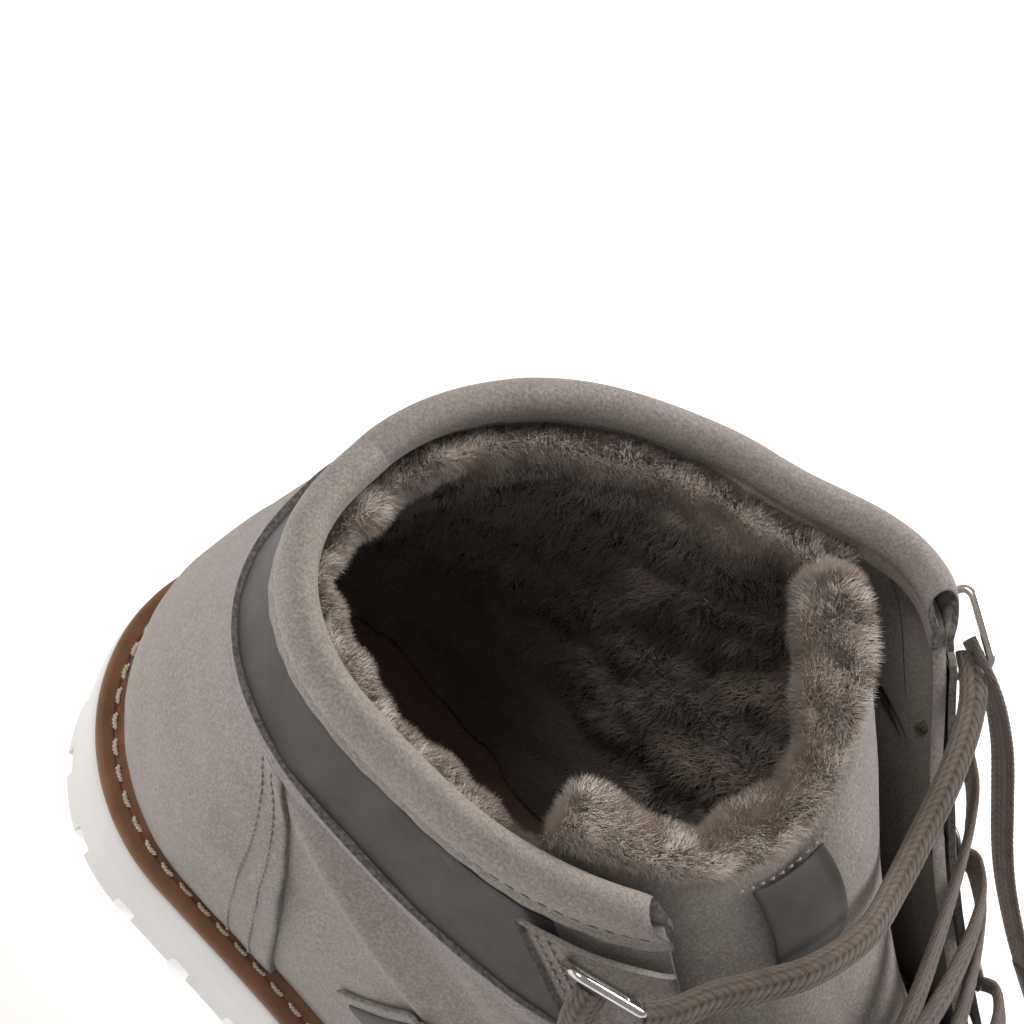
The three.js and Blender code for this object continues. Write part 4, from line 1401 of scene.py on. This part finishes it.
@dataclass
class Lining:
    """Sheepskin inside the upper, from the feather line up to the collar."""

    depth: float = 5.0
    lump: float = 0.9
    edge: float = 0.985
    crown: float = 1.9
    inner_room: float = 0.13
    outer_room: float = 0.07
    seat: float = 0.4

    def edges(self, v: Array) -> tuple[Array, Array]:
        """Both end angles of the lining, which stops beside the tongue."""
        room = ease(v, 0.55, 0.6)
        half = LAST.tongue_half(v)
        return (half + self.inner_room) * room, TURN - (half + self.outer_room) * room

    def place(self, u: Array, v: Array) -> Array:
        """Point of the pile's body; above v = 1 it rolls over its top edge."""
        level = np.minimum(v, 1) * self.edge
        start, end = self.edges(level)
        angle = mix(start, end, u)
        across, rise = dome((v - 1) / 0.1)
        flat = LAST.point(level, angle, np.full_like(v, -FLEECE_BACK - self.depth * 0.5))
        lumps = self.lump * Waves(21, 12.0).at(flat) + 0.3 * Waves(22, 5.5).at(flat)
        thick = self.depth + lumps
        off = -FLEECE_BACK - thick * (1 - across) - self.seat
        top = LAST.point(level, angle, off)
        top[..., 2] += rise * (self.crown + 0.5 * lumps)
        return top

    def deep(self, u: Array, v: Array) -> Array:
        """Painted shade: the pile is darker down inside than at the rim."""
        return 1 - ease(v, 0.84, 0.98)

    def lean(self, u: Array, v: Array) -> Array:
        """The pile is brushed up at the rim, and down further in."""
        up = np.zeros((*u.shape, 3))
        up[..., 2] = 0.5 * ease(v, 0.9, 1.0) - 0.5 * (1 - ease(v, 0.7, 0.9))
        up[..., 0] = -0.35 * (1 - ease(v, 0.8, 0.95))
        return up

    def build(self) -> None:
        """Build the ground and the fibres."""
        rows = unevenly(0.04, 1.1, 74, (1.03, 0.06, 4))
        ground = sheet_of(
            "lining_ground", np.linspace(0, 1, 240), rows, self.place,
            {"deep": self.deep, "tip": steady(0.35), "tone": steady(0.4)},
        )
        flip(ground)
        wear(ground, Finish.SKIN, "sheepskin_lining")

        def inside(u: Array, v: Array) -> Array:
            return self.place(1 - u, v)

        rim = Pile("lining_rim_pile", count=150000, length=2.6, width=0.17, seed=31, cells=(500, 120))
        wear(rim.grow(inside, (0, 1, 0.9, 1.095), self.lean, self.deep), Finish.PILE)
        wall = Pile("lining_wall_pile", count=115000, length=3.0, width=0.26, seed=32, pull=0.45)
        wear(wall.grow(inside, (0, 1, 0.3, 0.93), self.lean, self.deep), Finish.PILE)


@dataclass
class Tongue:
    """Tongue with a suede face, a thick fleece back and a pull loop."""

    low: float = 0.575
    body: float = 1.6
    fleece_low: float = 0.62
    fleece_top: float = 1.055
    sunk: float = 3.8
    fleece: float = 4.5
    fleece_more: float = 2.6
    loop_levels: tuple[float, float] = (0.925, 1.035)
    loop_angles: tuple[float, float] = (-0.34, 0.05)
    loop_rise: float = 3.0
    seam_level: float = 1.034
    seam_angles: tuple[float, float] = (-0.42, 0.1)
    lumps: tuple[tuple[float, float, float], ...] = (
        (-1.0, 0.24, 2.6), (-0.58, 0.16, 1.6), (-0.12, 0.2, 2.4), (0.38, 0.12, 0.8), (0.75, 0.3, 2.4),
    )

    def top(self, angle: Array) -> Array:
        """Level of the suede's top edge."""
        level = self.fleece_top + 0.03 * ease(angle, 0.0, 0.4) - 0.06 * ease(angle, 0.9, 1.25)
        return level - 0.015 * ease(-angle, 1, 1.25)

    def depth(self, level: Array, angle: Array) -> Array:
        """Distance of the face under the upper's face."""
        high = ease(level, 0.86, 0.95)
        return self.sunk + 1.7 * high * ease(-angle, 0.5, 0.8) - 1.2 * high * ease(angle, -0.1, 0.5)

    def spot(self, u: Array, share: Array, low: float) -> tuple[Array, Array]:
        """Level and angle at a share across and a share of the way up."""
        half = LAST.tongue_half(mix(low, 1.07, share))
        angle = mix(-half, half, u)
        return mix(low, self.top(angle), share), angle

    def face(self, u: Array, v: Array) -> Array:
        """Point of the suede face."""
        level, angle = self.spot(u, v, self.low)
        off = -self.depth(level, angle) - 0.9 * ease(v, 0.93, 1.0)
        return LAST.point(level, angle, off + 0.25 * Waves(5, 24).at(LAST.face(level, angle, 0.0)), 0.0)

    def pile_place(self, u: Array, v: Array) -> Array:
        """Point of the fleece's body; v below 1 runs up the back, above 1 over the top."""
        level, angle = self.spot(u, np.minimum(v, 1), self.fleece_low)
        across, rise = dome(v - 1)
        side = ease(np.minimum(u, 1 - u), 0.0, 0.045)
        swell = sum(h * bell(angle, a, w) for a, w, h in self.lumps) * ease(v, 0.5, 0.95)
        flat = LAST.point(level, angle, -self.depth(level, angle) - 6.0, 0.0)
        rough = 0.8 * Waves(41, 14.0).at(flat) + 0.3 * Waves(42, 6.0).at(flat)
        full = self.fleece + self.fleece_more * ease(v, 0.35, 1.0) + swell + rough
        thick = full * (0.15 + 0.85 * side)
        off = -self.depth(level, angle) - mix(self.body + thick, -0.2, across)
        top = LAST.point(level, angle, off, 0.0)
        lean = LAST.face(level, angle, 0.0) - LAST.face(level - 0.02, angle, 0.0)
        crown = (2.6 + 0.9 * swell + 1.2 * rough) * side
        return top + unit(lean) * (rise * crown)[..., None]

    def build(self) -> None:
        """Build every piece of the tongue."""
        rows = unevenly(0, 1, 60, (1, 0.1, 3))
        marks = {"cut": lambda u, v: bell(v, 1, 0.006)}
        face = sheet_of("tongue_face", np.linspace(0, 1, 90), rows, self.face, marks)
        thicken(face, self.body, 0.3, hidden=True)
        wear(face, Finish.SUEDE, "tongue")
        ground = sheet_of(
            "tongue_ground", np.linspace(0, 1, 120), unevenly(0, 2, 80, (1.5, 0.5, 3)), self.pile_place,
            {"deep": self.deep, "tip": steady(0.35), "tone": steady(0.5)},
        )
        flip(ground)
        wear(ground, Finish.SKIN, "tongue_fleece")
        fibres = Pile("tongue_pile", count=190000, length=3.0, width=0.16, seed=33, cells=(420, 300))

        def inside(u: Array, v: Array) -> Array:
            return self.pile_place(1 - u, v)

        wear(fibres.grow(inside, (0, 1, 0.45, 1.97), self.lean, self.deep), Finish.PILE)
        self.build_loop()

    def deep(self, u: Array, v: Array) -> Array:
        """Painted shade: the back is darker down inside."""
        return 0.8 * (1 - ease(v, 0.55, 0.95))

    def lean(self, u: Array, v: Array) -> Array:
        """The pile is brushed up and over the top."""
        up = np.zeros((*u.shape, 3))
        up[..., 2] = 0.45
        up[..., 0] = 0.3 * ease(v, 1.2, 1.8) - 0.15
        return up

    def build_loop(self) -> None:
        """Smooth leather pull loop, sewn across the tongue."""
        def place(u: Array, v: Array) -> Array:
            level = mix(*self.loop_levels, v)
            angle = mix(*self.loop_angles, u)
            rise = 0.7 + self.loop_rise * np.sin(np.pi * v) ** 0.8
            return LAST.point(level, angle, rise + 1.2 - self.depth(level, angle), 0.0)

        marks = {"cut": lambda u, v: np.exp(-np.minimum(u, 1 - u) * 60) * 0.6}
        loop = sheet_of("pull_loop_leather", np.linspace(0, 1, 24), np.linspace(0, 1, 40), place, marks)
        thicken(loop, 1.4, 0.3)
        wear(loop, Finish.BAND, "pull_loop")

        def seam(t: Array) -> Array:
            angle = mix(*self.seam_angles, t)
            level = np.full_like(t, self.seam_level)
            return LAST.point(level, angle, 0.75 - self.depth(level, angle), 0.0)

        stitch_row("tongue_seam", seam, 1.9, 1.4, 0.3, Finish.SEAM)


@dataclass
class Lacing:
    """Flat braided lace through eyelets and D-rings, with loose strands and ends."""

    width: float = 5.5
    thick: float = 1.6
    off: float = 6.1
    dip: float = 4.2
    around: int = 44
    step: float = 0.42
    yarn: float = 1.5
    relief: float = 0.2
    tip_half: tuple[float, float] = (2.95, 1.35)
    ring_tilt: float = 48.0
    ring_off: float = 5.3
    ring_long: float = 7.2
    ring_short: float = 3.9
    ring_corner: float = 2.2
    ring_wire: float = 0.8
    eyelet_off: float = 2.6
    eyelet_profile: tuple[tuple[float, float], ...] = (
        (2.3, -1.2), (2.35, 0.6), (2.7, 1.15), (3.3, 1.25), (3.9, 0.85), (4.3, 0.1),
    )
    lateral: tuple[tuple[float, float], ...] = ((0.93, -1.0), (0.845, -0.93), (0.76, -0.84), (0.69, -0.7))
    medial: tuple[tuple[float, float], ...] = ((0.94, 0.92), (0.84, 0.96), (0.76, 0.86), (0.69, 0.72))
    slack: tuple[tuple[float, float, float], ...] = (
        (-42.8, -36.6, 130.9), (-40, -32.5, 131), (-37, -25.5, 132), (-32.5, -18, 133),
        (-28, -9.5, 134.5), (-25, 4, 133.5), (-26, 16, 131.5), (-28.5, 26, 132),
        (-31.5, 34.5, 134.5), (-35, 42.5, 136.5), (-38, 48, 137), (-41.3, 51.4, 137.6),
        (-44.2, 54, 137.3),
    )
    free: tuple[tuple[float, float, float], ...] = (
        (-45.7, 55.9, 137.1), (-39.6, 53.7, 136.8), (-33, 55.5, 130.5), (-25.5, 57, 122),
        (-17, 56.5, 112), (-9.5, 55.5, 104), (-1.5, 54.5, 96.5), (7, 53.5, 90), (16, 53, 84),
        (25, 52.5, 78.5),
    )
    outer: tuple[tuple[float, float, float], ...] = (
        (-51.8, -39.7, 130.2), (-50, -42, 125.5), (-47, -42.4, 119.5), (-43.5, -42, 113.5),
        (-39, -41.5, 107.5), (-33.5, -41.5, 101.5),
    )

    def ribbon(self, name: str, path: Array, up: Array, squeeze: float = 0.0) -> bpy.types.Object:
        """Flat braid along a path.

        Args:
            name: Name of the piece.
            path: Points of its middle line.
            up: Arrow that its flat face looks along.
            squeeze: Share of the width lost at both ends, where it goes into a hole.

        Returns:
            The braid.
        """
        sweep = Sweep(path, up)
        length = path_length(path)

        def pattern(u: Array, v: Array) -> Array:
            run, half = v * length, (self.width + self.thick)
            across = np.abs((u * 2 * half + half / 2) % (2 * half) - half)
            a = (run + across * 1.25) / self.yarn
            over = np.abs((a % 1.0) - 0.5) * 2
            cross = np.abs(((across / 1.35) % 1.0) - 0.5) * 2
            return np.clip(1 - 0.75 * over**2.2 - 0.45 * cross**3, 0, 1)

        def place(u: Array, v: Array) -> Array:
            turn = TURN * u
            ends = np.minimum(v, 1 - v) * length
            narrow = 1 - squeeze * np.exp(-((ends / 3.5) ** 2))
            c, s = np.cos(turn), np.sin(turn)
            side = self.width / 2 * np.sign(c) * np.abs(c) ** 0.75 * narrow
            rise = self.thick / 2 * np.sign(s) * np.abs(s) ** 0.6 * (1 + 0.5 * (1 - narrow))
            relief = self.relief * (pattern(u, v) - 0.6)
            wobble = 0.12 * np.sin(v * length / 5.1)
            return sweep.at(v, side + c * relief, rise + s * relief + wobble)

        columns = np.linspace(0, 1, self.around + 1)
        rows = np.linspace(0, 1, max(12, int(length / self.step)))
        braid = sheet_of(name, columns, rows, place, {"yarn": pattern}, ring=True)
        with edited(braid.data) as bm:
            bmesh.ops.holes_fill(bm, edges=[e for e in bm.edges if e.is_boundary])
            bmesh.ops.recalc_face_normals(bm, faces=bm.faces)
        return braid

    def strand(self, a: tuple[float, float], b: tuple[float, float]) -> tuple[Array, Array]:
        """Path of a crossing and the arrow of its flat face, from one hole to another."""
        t = np.linspace(0, 1, 80)
        level, angle = mix(a[0], b[0], t), mix(a[1], b[1], t)
        middle = np.sin(np.pi * t)
        ends = np.minimum(t, 1 - t)
        off = self.off - self.dip * middle**2 - (self.off + 0.5) * (1 - ease(ends, 0.0, 0.06))
        flare = 1 - ease(middle, 0.3, 1.0)
        return LAST.point(level, angle, off, flare), LAST.normal(level, angle, flare)

    def build(self) -> None:
        """Build the crossings, the loose strands and the metal."""
        outer, inner = self.lateral, self.medial
        crossings = [(outer[3], inner[3])]
        for row in (1, 2):
            crossings += [(outer[row], inner[row + 1]), (outer[row + 1], inner[row])]
        for number, (a, b) in enumerate(crossings, 1):
            path, up = self.strand(a, b)
            nodes = ("lace_bars",) if number == 1 else ()
            wear(self.ribbon(f"lace_crossing_{number}", path, up, 0.35), Finish.LACE, *nodes)
        for name, route, up, node, end, tips in (
            ("slack_strand", self.slack, (0.35, -0.3, 1.0), "slack", "object", ()),
            ("inner_end", self.free, (0.1, 1.0, 0.35), "free_end", "fitting", ("aglet_inner",)),
            ("outer_strand", self.outer, (0.1, -1.0, 0.3), "outer_end", "fitting", ("aglet_outer",)),
        ):
            self.loose(f"lace_{name}", route, up, f"lace_{node}", end, tips)
        for side, holes, name in ((-1, self.lateral, "lateral"), (1, self.medial, "medial")):
            self.ring(f"d_ring_wire_{name}", holes[0], side, f"d_ring_{name}")
            for row in (1, 2, 3):
                self.eyelet(f"eyelet_rim_{name}_{row}", holes[row], f"eyelet_{name}_{row}")

    def loose(
        self, name: str, route: Sequence[Sequence[float]], up: Sequence[float], node: str, end: str,
        tips: Sequence[str],
    ) -> None:
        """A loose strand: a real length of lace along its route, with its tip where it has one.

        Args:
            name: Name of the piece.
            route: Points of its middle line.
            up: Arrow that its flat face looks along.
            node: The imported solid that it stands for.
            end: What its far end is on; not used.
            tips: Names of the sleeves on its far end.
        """
        path = smooth_path(route, 140)
        braid = wear(self.ribbon(name, path, np.array(up)), Finish.LACE, node)
        for tip in tips:
            inner = Sweep(path[-22:], np.array(up))

            def place(u: Array, v: Array, inner: Sweep = inner) -> Array:
                c, s = np.cos(TURN * u), np.sin(TURN * u)
                return inner.at(v, self.tip_half[0] * c, self.tip_half[1] * s)

            sleeve = sheet_of(tip, np.linspace(0, 1, 25), np.linspace(0, 1, 8), place, ring=True)
            turn_out(sleeve)
            thicken(sleeve, 0.3)
            wear(sleeve, Finish.BAND)
        path_length(path) * MM

    def hole_frame(self, hole: tuple[float, float], off: float) -> tuple[Array, Array, Array, Array]:
        """Frame on the upper's face: origin, out, towards the toe, across."""
        level, angle = np.array([hole[0]]), np.array([hole[1]])
        out = LAST.normal(level, angle)[0]
        origin = LAST.face(level, angle)[0] + out * off
        down = (LAST.face(level - 0.01, angle) - LAST.face(level + 0.01, angle))[0]
        toe = unit(down - out * float(down @ out))
        return origin, out, toe, np.cross(out, toe)

    def ring(self, name: str, hole: tuple[float, float], side: int, node: str) -> None:
        """D-ring of bent wire."""
        origin, out, toe, across = self.hole_frame(hole, self.ring_off)
        long = unit(toe - side * across)
        flat = np.cross(out, long)
        tilt = -math.radians(side * self.ring_tilt)
        short = flat * math.cos(tilt) + out * math.sin(tilt)
        corner = self.ring_corner
        turn = np.linspace(0, TURN, 73)
        a, b = np.cos(turn), np.sin(turn)
        path = (
            origin
            + short * (np.clip(a * 40, -1, 1) * (self.ring_short - corner) + corner * a)[:, None]
            + long * (np.clip(b * 40, -1, 1) * (self.ring_long - corner) + corner * b)[:, None]
        )
        sweep = Sweep(path, np.cross(short, long), closed=True)

        def place(u: Array, v: Array) -> Array:
            return sweep.at(v, self.ring_wire * np.cos(TURN * u), self.ring_wire * np.sin(TURN * u))

        columns, rows = np.linspace(0, 1, 15), np.linspace(0, 1, 97)
        wire = sheet_of(name, columns, rows, place, ring=True, tube=True)
        turn_out(wire)
        wear(wire, Finish.STEEL, node)

    def eyelet(self, name: str, hole: tuple[float, float], node: str) -> None:
        """Rolled eyelet, spun from its profile."""
        origin, out, toe, across = self.hole_frame(hole, self.eyelet_off)
        bm = bmesh.new()
        verts = [bm.verts.new((r, 0, z)) for r, z in self.eyelet_profile]
        edges = [bm.edges.new(pair) for pair in zip(verts, verts[1:])]
        bmesh.ops.spin(
            bm, geom=verts + edges, cent=(0, 0, 0), axis=(0, 0, 1), angle=TURN, steps=40, use_merge=True,
        )
        bmesh.ops.remove_doubles(bm, verts=bm.verts, dist=1e-4)
        place = Matrix((*np.stack([toe, across, out, origin], -1).tolist(), (0, 0, 0, 1)))
        bm.transform(Matrix.Scale(MM, 4) @ place)
        bmesh.ops.recalc_face_normals(bm, faces=bm.faces)
        rim = from_bmesh(name, bm)
        thicken(rim, 0.3)
        wear(rim, Finish.EYELET, node)


@dataclass
class Sole:
    """Moulded outsole: rounded side wall, notched lower edge, tread ring and grooves."""

    columns: int = 264
    notch: float = 5.0
    pitch: float = 15.0
    reach: float = 13.0
    notch_height: float = 10.0
    groove_x: tuple[float, ...] = (-118, -82, 12, 32, 52, 72, 90)
    groove: tuple[float, float, float] = (4.0, 34.0, 8.0)
    channel_in: tuple[float, float] = (18.0, 22.0)
    channel_deep: float = 4.0
    welt_around: float = 700.0
    welt_pitch: float = 4.9
    welt_stitch: float = 3.3
    insole_middle: tuple[float, float] = (-5.0, 3.0)
    insole_rise: float = 5.5
    profile: tuple[tuple[float, float], ...] = (
        (0.0, 5.6), (0.015, 5.15), (0.05, 4.85), (0.2, 4.55), (0.4, 3.2), (0.6, 1.8), (0.75, 0.8),
        (0.88, 0.2), (0.95, 0.02), (0.985, 0.15), (1.0, 0.55),
    )

    def ring_of(self, rise: float, inset: float) -> Array:
        """Points round the sole at a share of its height and an inset."""
        share = np.arange(self.columns) / self.columns
        x, y = LAST.outline_at(share, np.full(self.columns, inset))
        low, high = LAST.sole_bottom(x), LAST.sole_top(x)
        return np.stack([x, y, mix(low, high, rise)], -1)

    def body(self) -> bpy.types.Object:
        """Closed solid of the sole before it is cut."""
        bm = bmesh.new()
        made = bmesh.ops.create_circle(bm, segments=self.columns, radius=1)
        ring = made["verts"]
        loops = []
        for step, (rise, inset) in enumerate(self.profile):
            if step:
                edges = [e for e in bm.edges if all(v in last for v in e.verts)]
                new = bmesh.ops.extrude_edge_only(bm, edges=edges)["geom"]
                verts = [g for g in new if isinstance(g, bmesh.types.BMVert)]
                near = {e.other_vert(v): v for v in verts for e in v.link_edges if e.other_vert(v) in last}
                ring = [near[v] for v in ring]
            for vert, point in zip(ring, self.ring_of(rise, inset)):
                vert.co = point * MM
            last = set(ring)
            loops.append(ring)
        self.close(bm, loops[0], LAST.sole_bottom)
        self.close(bm, loops[-1], LAST.sole_top)
        bmesh.ops.recalc_face_normals(bm, faces=bm.faces)
        return from_bmesh("outsole_rubber", bm)

    def close(self, bm: bmesh.types.BMesh, ring: list, height: Callable[[Array], Array]) -> None:
        """Close one end of the solid with bands that follow a height.

        Args:
            bm: The solid.
            ring: Vertices of its open edge.
            height: Height of the closing face at x.
        """
        half = self.columns // 2
        for k in range(1, half):
            a, b = ring[k], ring[self.columns - k]
            if k == 1:
                bm.faces.new((ring[0], a, b))
            if k == half - 1:
                bm.faces.new((a, ring[half], b))
                continue
            bm.faces.new((a, ring[k + 1], ring[self.columns - k - 1], b))
        for vert in ring:
            vert.co.z = float(height(np.array([vert.co.x / MM]))[0]) * MM

    def cutters(self) -> bpy.types.Object:
        """Boxes for the notches and grooves, and the ring channel, as one cutter."""
        bm = bmesh.new()
        fine = np.linspace(0, 1, 4001)
        x, y = LAST.outline_at(fine, np.full(len(fine), 5.0))
        run = np.concatenate([[0], np.cumsum(np.hypot(np.diff(x), np.diff(y)))])
        count = int(run[-1] / self.pitch)
        for place in (np.arange(count) + 0.5) * run[-1] / count:
            share = np.interp(place, run, fine)
            px, py = np.interp(share, fine, x), np.interp(share, fine, y)
            if px < 0 and LAST.sole_bottom(np.array([px]))[0] > 1:
                continue
            near = (share + 0.002, share - 0.002)
            ax, ay = (-np.diff(np.interp(near, fine, line, period=1))[0] for line in (x, y))
            low = float(LAST.sole_bottom(np.array([px]))[0])
            self.box(bm, (px, py, low), math.atan2(ay, ax), (self.notch, 2 * self.reach, self.notch_height))
        for gx in self.groove_x:
            centre = float(LAST.centre_line(np.array([gx]))[0])
            low = float(LAST.sole_bottom(np.array([gx]))[0])
            self.box(bm, (gx, centre, low), 0.0, self.groove)
        self.channel(bm)
        return from_bmesh("tread_cutters", bm)

    def box(self, bm: bmesh.types.BMesh, at: Sequence[float], turn: float, size: Sequence[float]) -> None:
        """Add a box with rounded upright edges."""
        place = Matrix.Translation(Vector(at) * MM) @ Matrix.Rotation(turn, 4, "Z")
        scale = Matrix.Diagonal((*[s * MM for s in size], 1))
        made = bmesh.ops.create_cube(bm, size=1, matrix=place @ scale)
        edges = {e for v in made["verts"] for e in v.link_edges}
        bmesh.ops.bevel(
            bm, geom=list(edges), offset=0.6 * MM, affect="EDGES", segments=2, profile=0.5, material=-1,
        )

    def channel(self, bm: bmesh.types.BMesh) -> None:
        """Add the ring channel of the tread."""
        share = np.arange(self.columns) / self.columns
        corners = []
        (start, end), deep = self.channel_in, self.channel_deep
        for inset, rise in ((start, -deep), (end, -deep), (end, deep), (start, deep)):
            x, y = LAST.outline_at(share, np.full(self.columns, inset))
            z = LAST.sole_bottom(x) + rise
            corners.append([bm.verts.new(p) for p in np.stack([x, y, z], -1) * MM])
        for a, b in zip(corners, corners[1:] + corners[:1]):
            for k in range(self.columns):
                m = (k + 1) % self.columns
                bm.faces.new((a[k], a[m], b[m], b[k]))
        bmesh.ops.recalc_face_normals(bm, faces=bm.faces)

    def build(self) -> None:
        """Build the outsole, the welt with its stitches and the insole."""
        sole, cutters = self.body(), self.cutters()
        cut = sole.modifiers.new("tread", "BOOLEAN")
        cut.operation = "DIFFERENCE"
        cut.object = cutters
        cut.solver = "EXACT"
        cut.use_self = True
        flat = sole.evaluated_get(bpy.context.evaluated_depsgraph_get())
        mesh = bpy.data.meshes.new_from_object(flat)
        sole.modifiers.clear()
        sole.data = mesh
        bpy.data.objects.remove(cutters)
        mesh.materials.clear()
        mesh.polygons.foreach_set("use_smooth", np.ones(len(mesh.polygons), bool))
        mesh.set_sharp_from_angle(angle=math.radians(40))
        wear(sole, Finish.RUBBER, "outsole")
        self.build_welt()
        self.build_insole()

    def build_welt(self) -> None:
        """Leather welt with a stitched flat and a raised inner cord under the upper."""
        section = Table(
            "share inset height",
            (0.0, 1.6, -2.7), (0.08, 0.35, -2.6), (0.16, -0.05, -1.6), (0.26, 0.0, -0.6),
            (0.36, 0.55, -0.05), (0.46, 1.6, 0.0), (0.56, 2.7, -0.05), (0.64, 3.3, -0.42),
            (0.72, 3.9, -0.05), (0.8, 4.7, 0.9), (0.88, 5.9, 1.25), (0.95, 7.2, 0.9), (1.0, 9.5, 0.2),
        )
        turn = Waves(61, 9)

        def place(u: Array, v: Array) -> Array:
            inset, height = section.at(v, "inset"), section.at(v, "height")
            x, y = LAST.outline_at(u, inset)
            z = LAST.welt_top(x) + height
            at = np.stack([x, y, z], -1)
            run = u * self.welt_around
            pinch = 0.3 * np.cos(TURN * run / self.welt_pitch) * bell(v, 0.64, 0.05)
            return at + np.array([0, 0, 1.0]) * (pinch + 0.1 * turn.at(at) * bell(v, 0.5, 0.3))[..., None]

        rows = unevenly(0, 1, 28, (0.64, 0.1, 2))
        strip = sheet_of("welt_strip", np.linspace(0, 1, 560), rows, place, ring=True)
        face_up(strip)
        thicken(strip, 0.8, hidden=True)
        wear(strip, Finish.WELT, "welt")

        def seam(t: Array) -> Array:
            x, y = LAST.outline_at(t, np.full_like(t, 3.3))
            return np.stack([x, y, LAST.welt_top(x) - 0.15], -1)

        pitch, stitch = self.welt_pitch, self.welt_stitch
        stitch_row("welt_stitches", seam, pitch, stitch, 0.42, Finish.CREAM, plies=2, rise=0.35)

    def build_insole(self) -> None:
        """Fleece insole on the bottom, inside the boot."""
        def place(u: Array, v: Array) -> Array:
            angle = TURN * u
            level = np.full_like(u, 0.06)
            rim = LAST.point(level, angle, np.full_like(u, -4.5))
            x = mix(self.insole_middle[0], rim[..., 0], v)
            y = mix(self.insole_middle[1], rim[..., 1], v)
            top = LAST.welt_top(x) + self.insole_rise
            at = np.stack([x, y, top], -1)
            at[..., 2] += 0.6 * Waves(71, 8).at(at)
            return at

        # The mark named deep paints a light, even shade over the whole insole.
        marks = {"deep": steady(0.15), "tip": steady(0.5), "tone": steady(0.5)}
        columns, rows = np.linspace(0, 1, 150), np.linspace(0.01, 1, 60)
        pad = sheet_of("insole_pile", columns, rows, place, marks, ring=True)
        face_up(pad)
        wear(pad, Finish.INSOLE, "insole")


def face_up(piece: bpy.types.Object) -> None:
    """Turn a sheet so that most of its faces look up."""
    normals = np.zeros(len(piece.data.polygons) * 3, np.float32)
    piece.data.polygons.foreach_get("normal", normals)
    if normals.reshape(-1, 3)[:, 2].sum() < 0:
        flip(piece)


@dataclass(frozen=True)
class Lamp:
    """Soft square lamp: place in metres, side, power in watts and tone."""

    name: str
    at: tuple[float, float, float]
    size: float
    power: float
    tone: Colour


@dataclass
class Studio:
    """Camera, lights and floor of the photo."""

    azimuth: float = -7.0
    elevation: float = 58.0
    roll: float = 54.0
    target: tuple[float, float, float] = (-113.01, 27.75, 100.0)
    distance: float = 650.0
    lens: float = 131.4
    sensor: float = 36.0
    world: float = 0.3
    floor_half: float = 3.0
    floor_glow: float = 0.42
    aim: tuple[float, float, float] = (-0.04, 0.0, 0.08)
    lamps: tuple[Lamp, ...] = (
        Lamp("key", (-1.15, -0.35, 1.3), 0.6, 10.0, (1.0, 0.985, 0.965)),
        Lamp("side", (0.3, 1.15, 0.8), 0.6, 15.0, (1.0, 0.985, 0.97)),
    )

    def camera(self) -> None:
        """Put up the camera, rolled as in the photo."""
        az, el, roll = (math.radians(v) for v in (self.azimuth, self.elevation, self.roll))
        back = Vector((math.sin(az) * math.cos(el), -math.cos(az) * math.cos(el), math.sin(el)))
        flat = Vector((math.cos(az), math.sin(az), 0))
        high = back.cross(flat)
        right = flat * math.cos(roll) + high * math.sin(roll)
        up = high * math.cos(roll) - flat * math.sin(roll)
        eye = (Vector(self.target) + back * self.distance) * MM
        data = bpy.data.cameras.new("photo_camera")
        data.sensor_width = self.sensor
        data.lens = self.lens
        data.clip_start, data.clip_end = 0.01, 20
        camera = bpy.data.objects.new("photo_camera", data)
        rows = [(right[k], up[k], back[k], eye[k]) for k in range(3)]
        camera.matrix_world = Matrix((*rows, (0, 0, 0, 1)))
        bpy.context.scene.collection.objects.link(camera)
        bpy.context.scene.camera = camera

    def light(self, lamp: Lamp) -> None:
        """Put up one lamp, which looks at the boot."""
        data = bpy.data.lights.new(lamp.name, "AREA")
        data.energy, data.size, data.color = lamp.power, lamp.size, lamp.tone
        light = bpy.data.objects.new(lamp.name, data)
        turn = (Vector(lamp.at) - Vector(self.aim)).to_track_quat("Z", "Y").to_matrix().to_4x4()
        light.matrix_world = Matrix.Translation(lamp.at) @ turn
        bpy.context.scene.collection.objects.link(light)

    def build(self) -> None:
        """Put up camera, lamps, world and floor."""
        self.camera()
        for lamp in self.lamps:
            self.light(lamp)
        world = bpy.data.worlds.new("studio")
        world.use_nodes = True
        ground = world.node_tree.nodes["Background"]
        ground.inputs[0].default_value = (1.0, 1.0, 1.0, 1.0)
        ground.inputs[1].default_value = self.world
        bpy.context.scene.world = world
        bpy.context.scene.view_settings.view_transform = "Standard"
        bm = bmesh.new()
        bmesh.ops.create_grid(bm, x_segments=2, y_segments=2, size=self.floor_half)
        floor = from_bmesh("floor", bm)
        pale = Shader("pale_floor", Base_Color=(0.95, 0.95, 0.95), Roughness=0.9)
        pale.feed("Emission Color", (1.0, 1.0, 1.0))
        pale.feed("Emission Strength", self.floor_glow)
        floor.data.materials.append(pale.material)


def main() -> None:
    """Build the boot and the studio, and report the pieces."""
    logging.basicConfig(level=logging.INFO, format="%(name)s %(message)s")
    for part in (Sole(), Upper(), Collar(), Lining(), Tongue(), Lacing()):
        LOG.info("building the %s", type(part).__name__.lower())
        part.build()
    Studio().build()


if __name__ == "__main__":
    main()
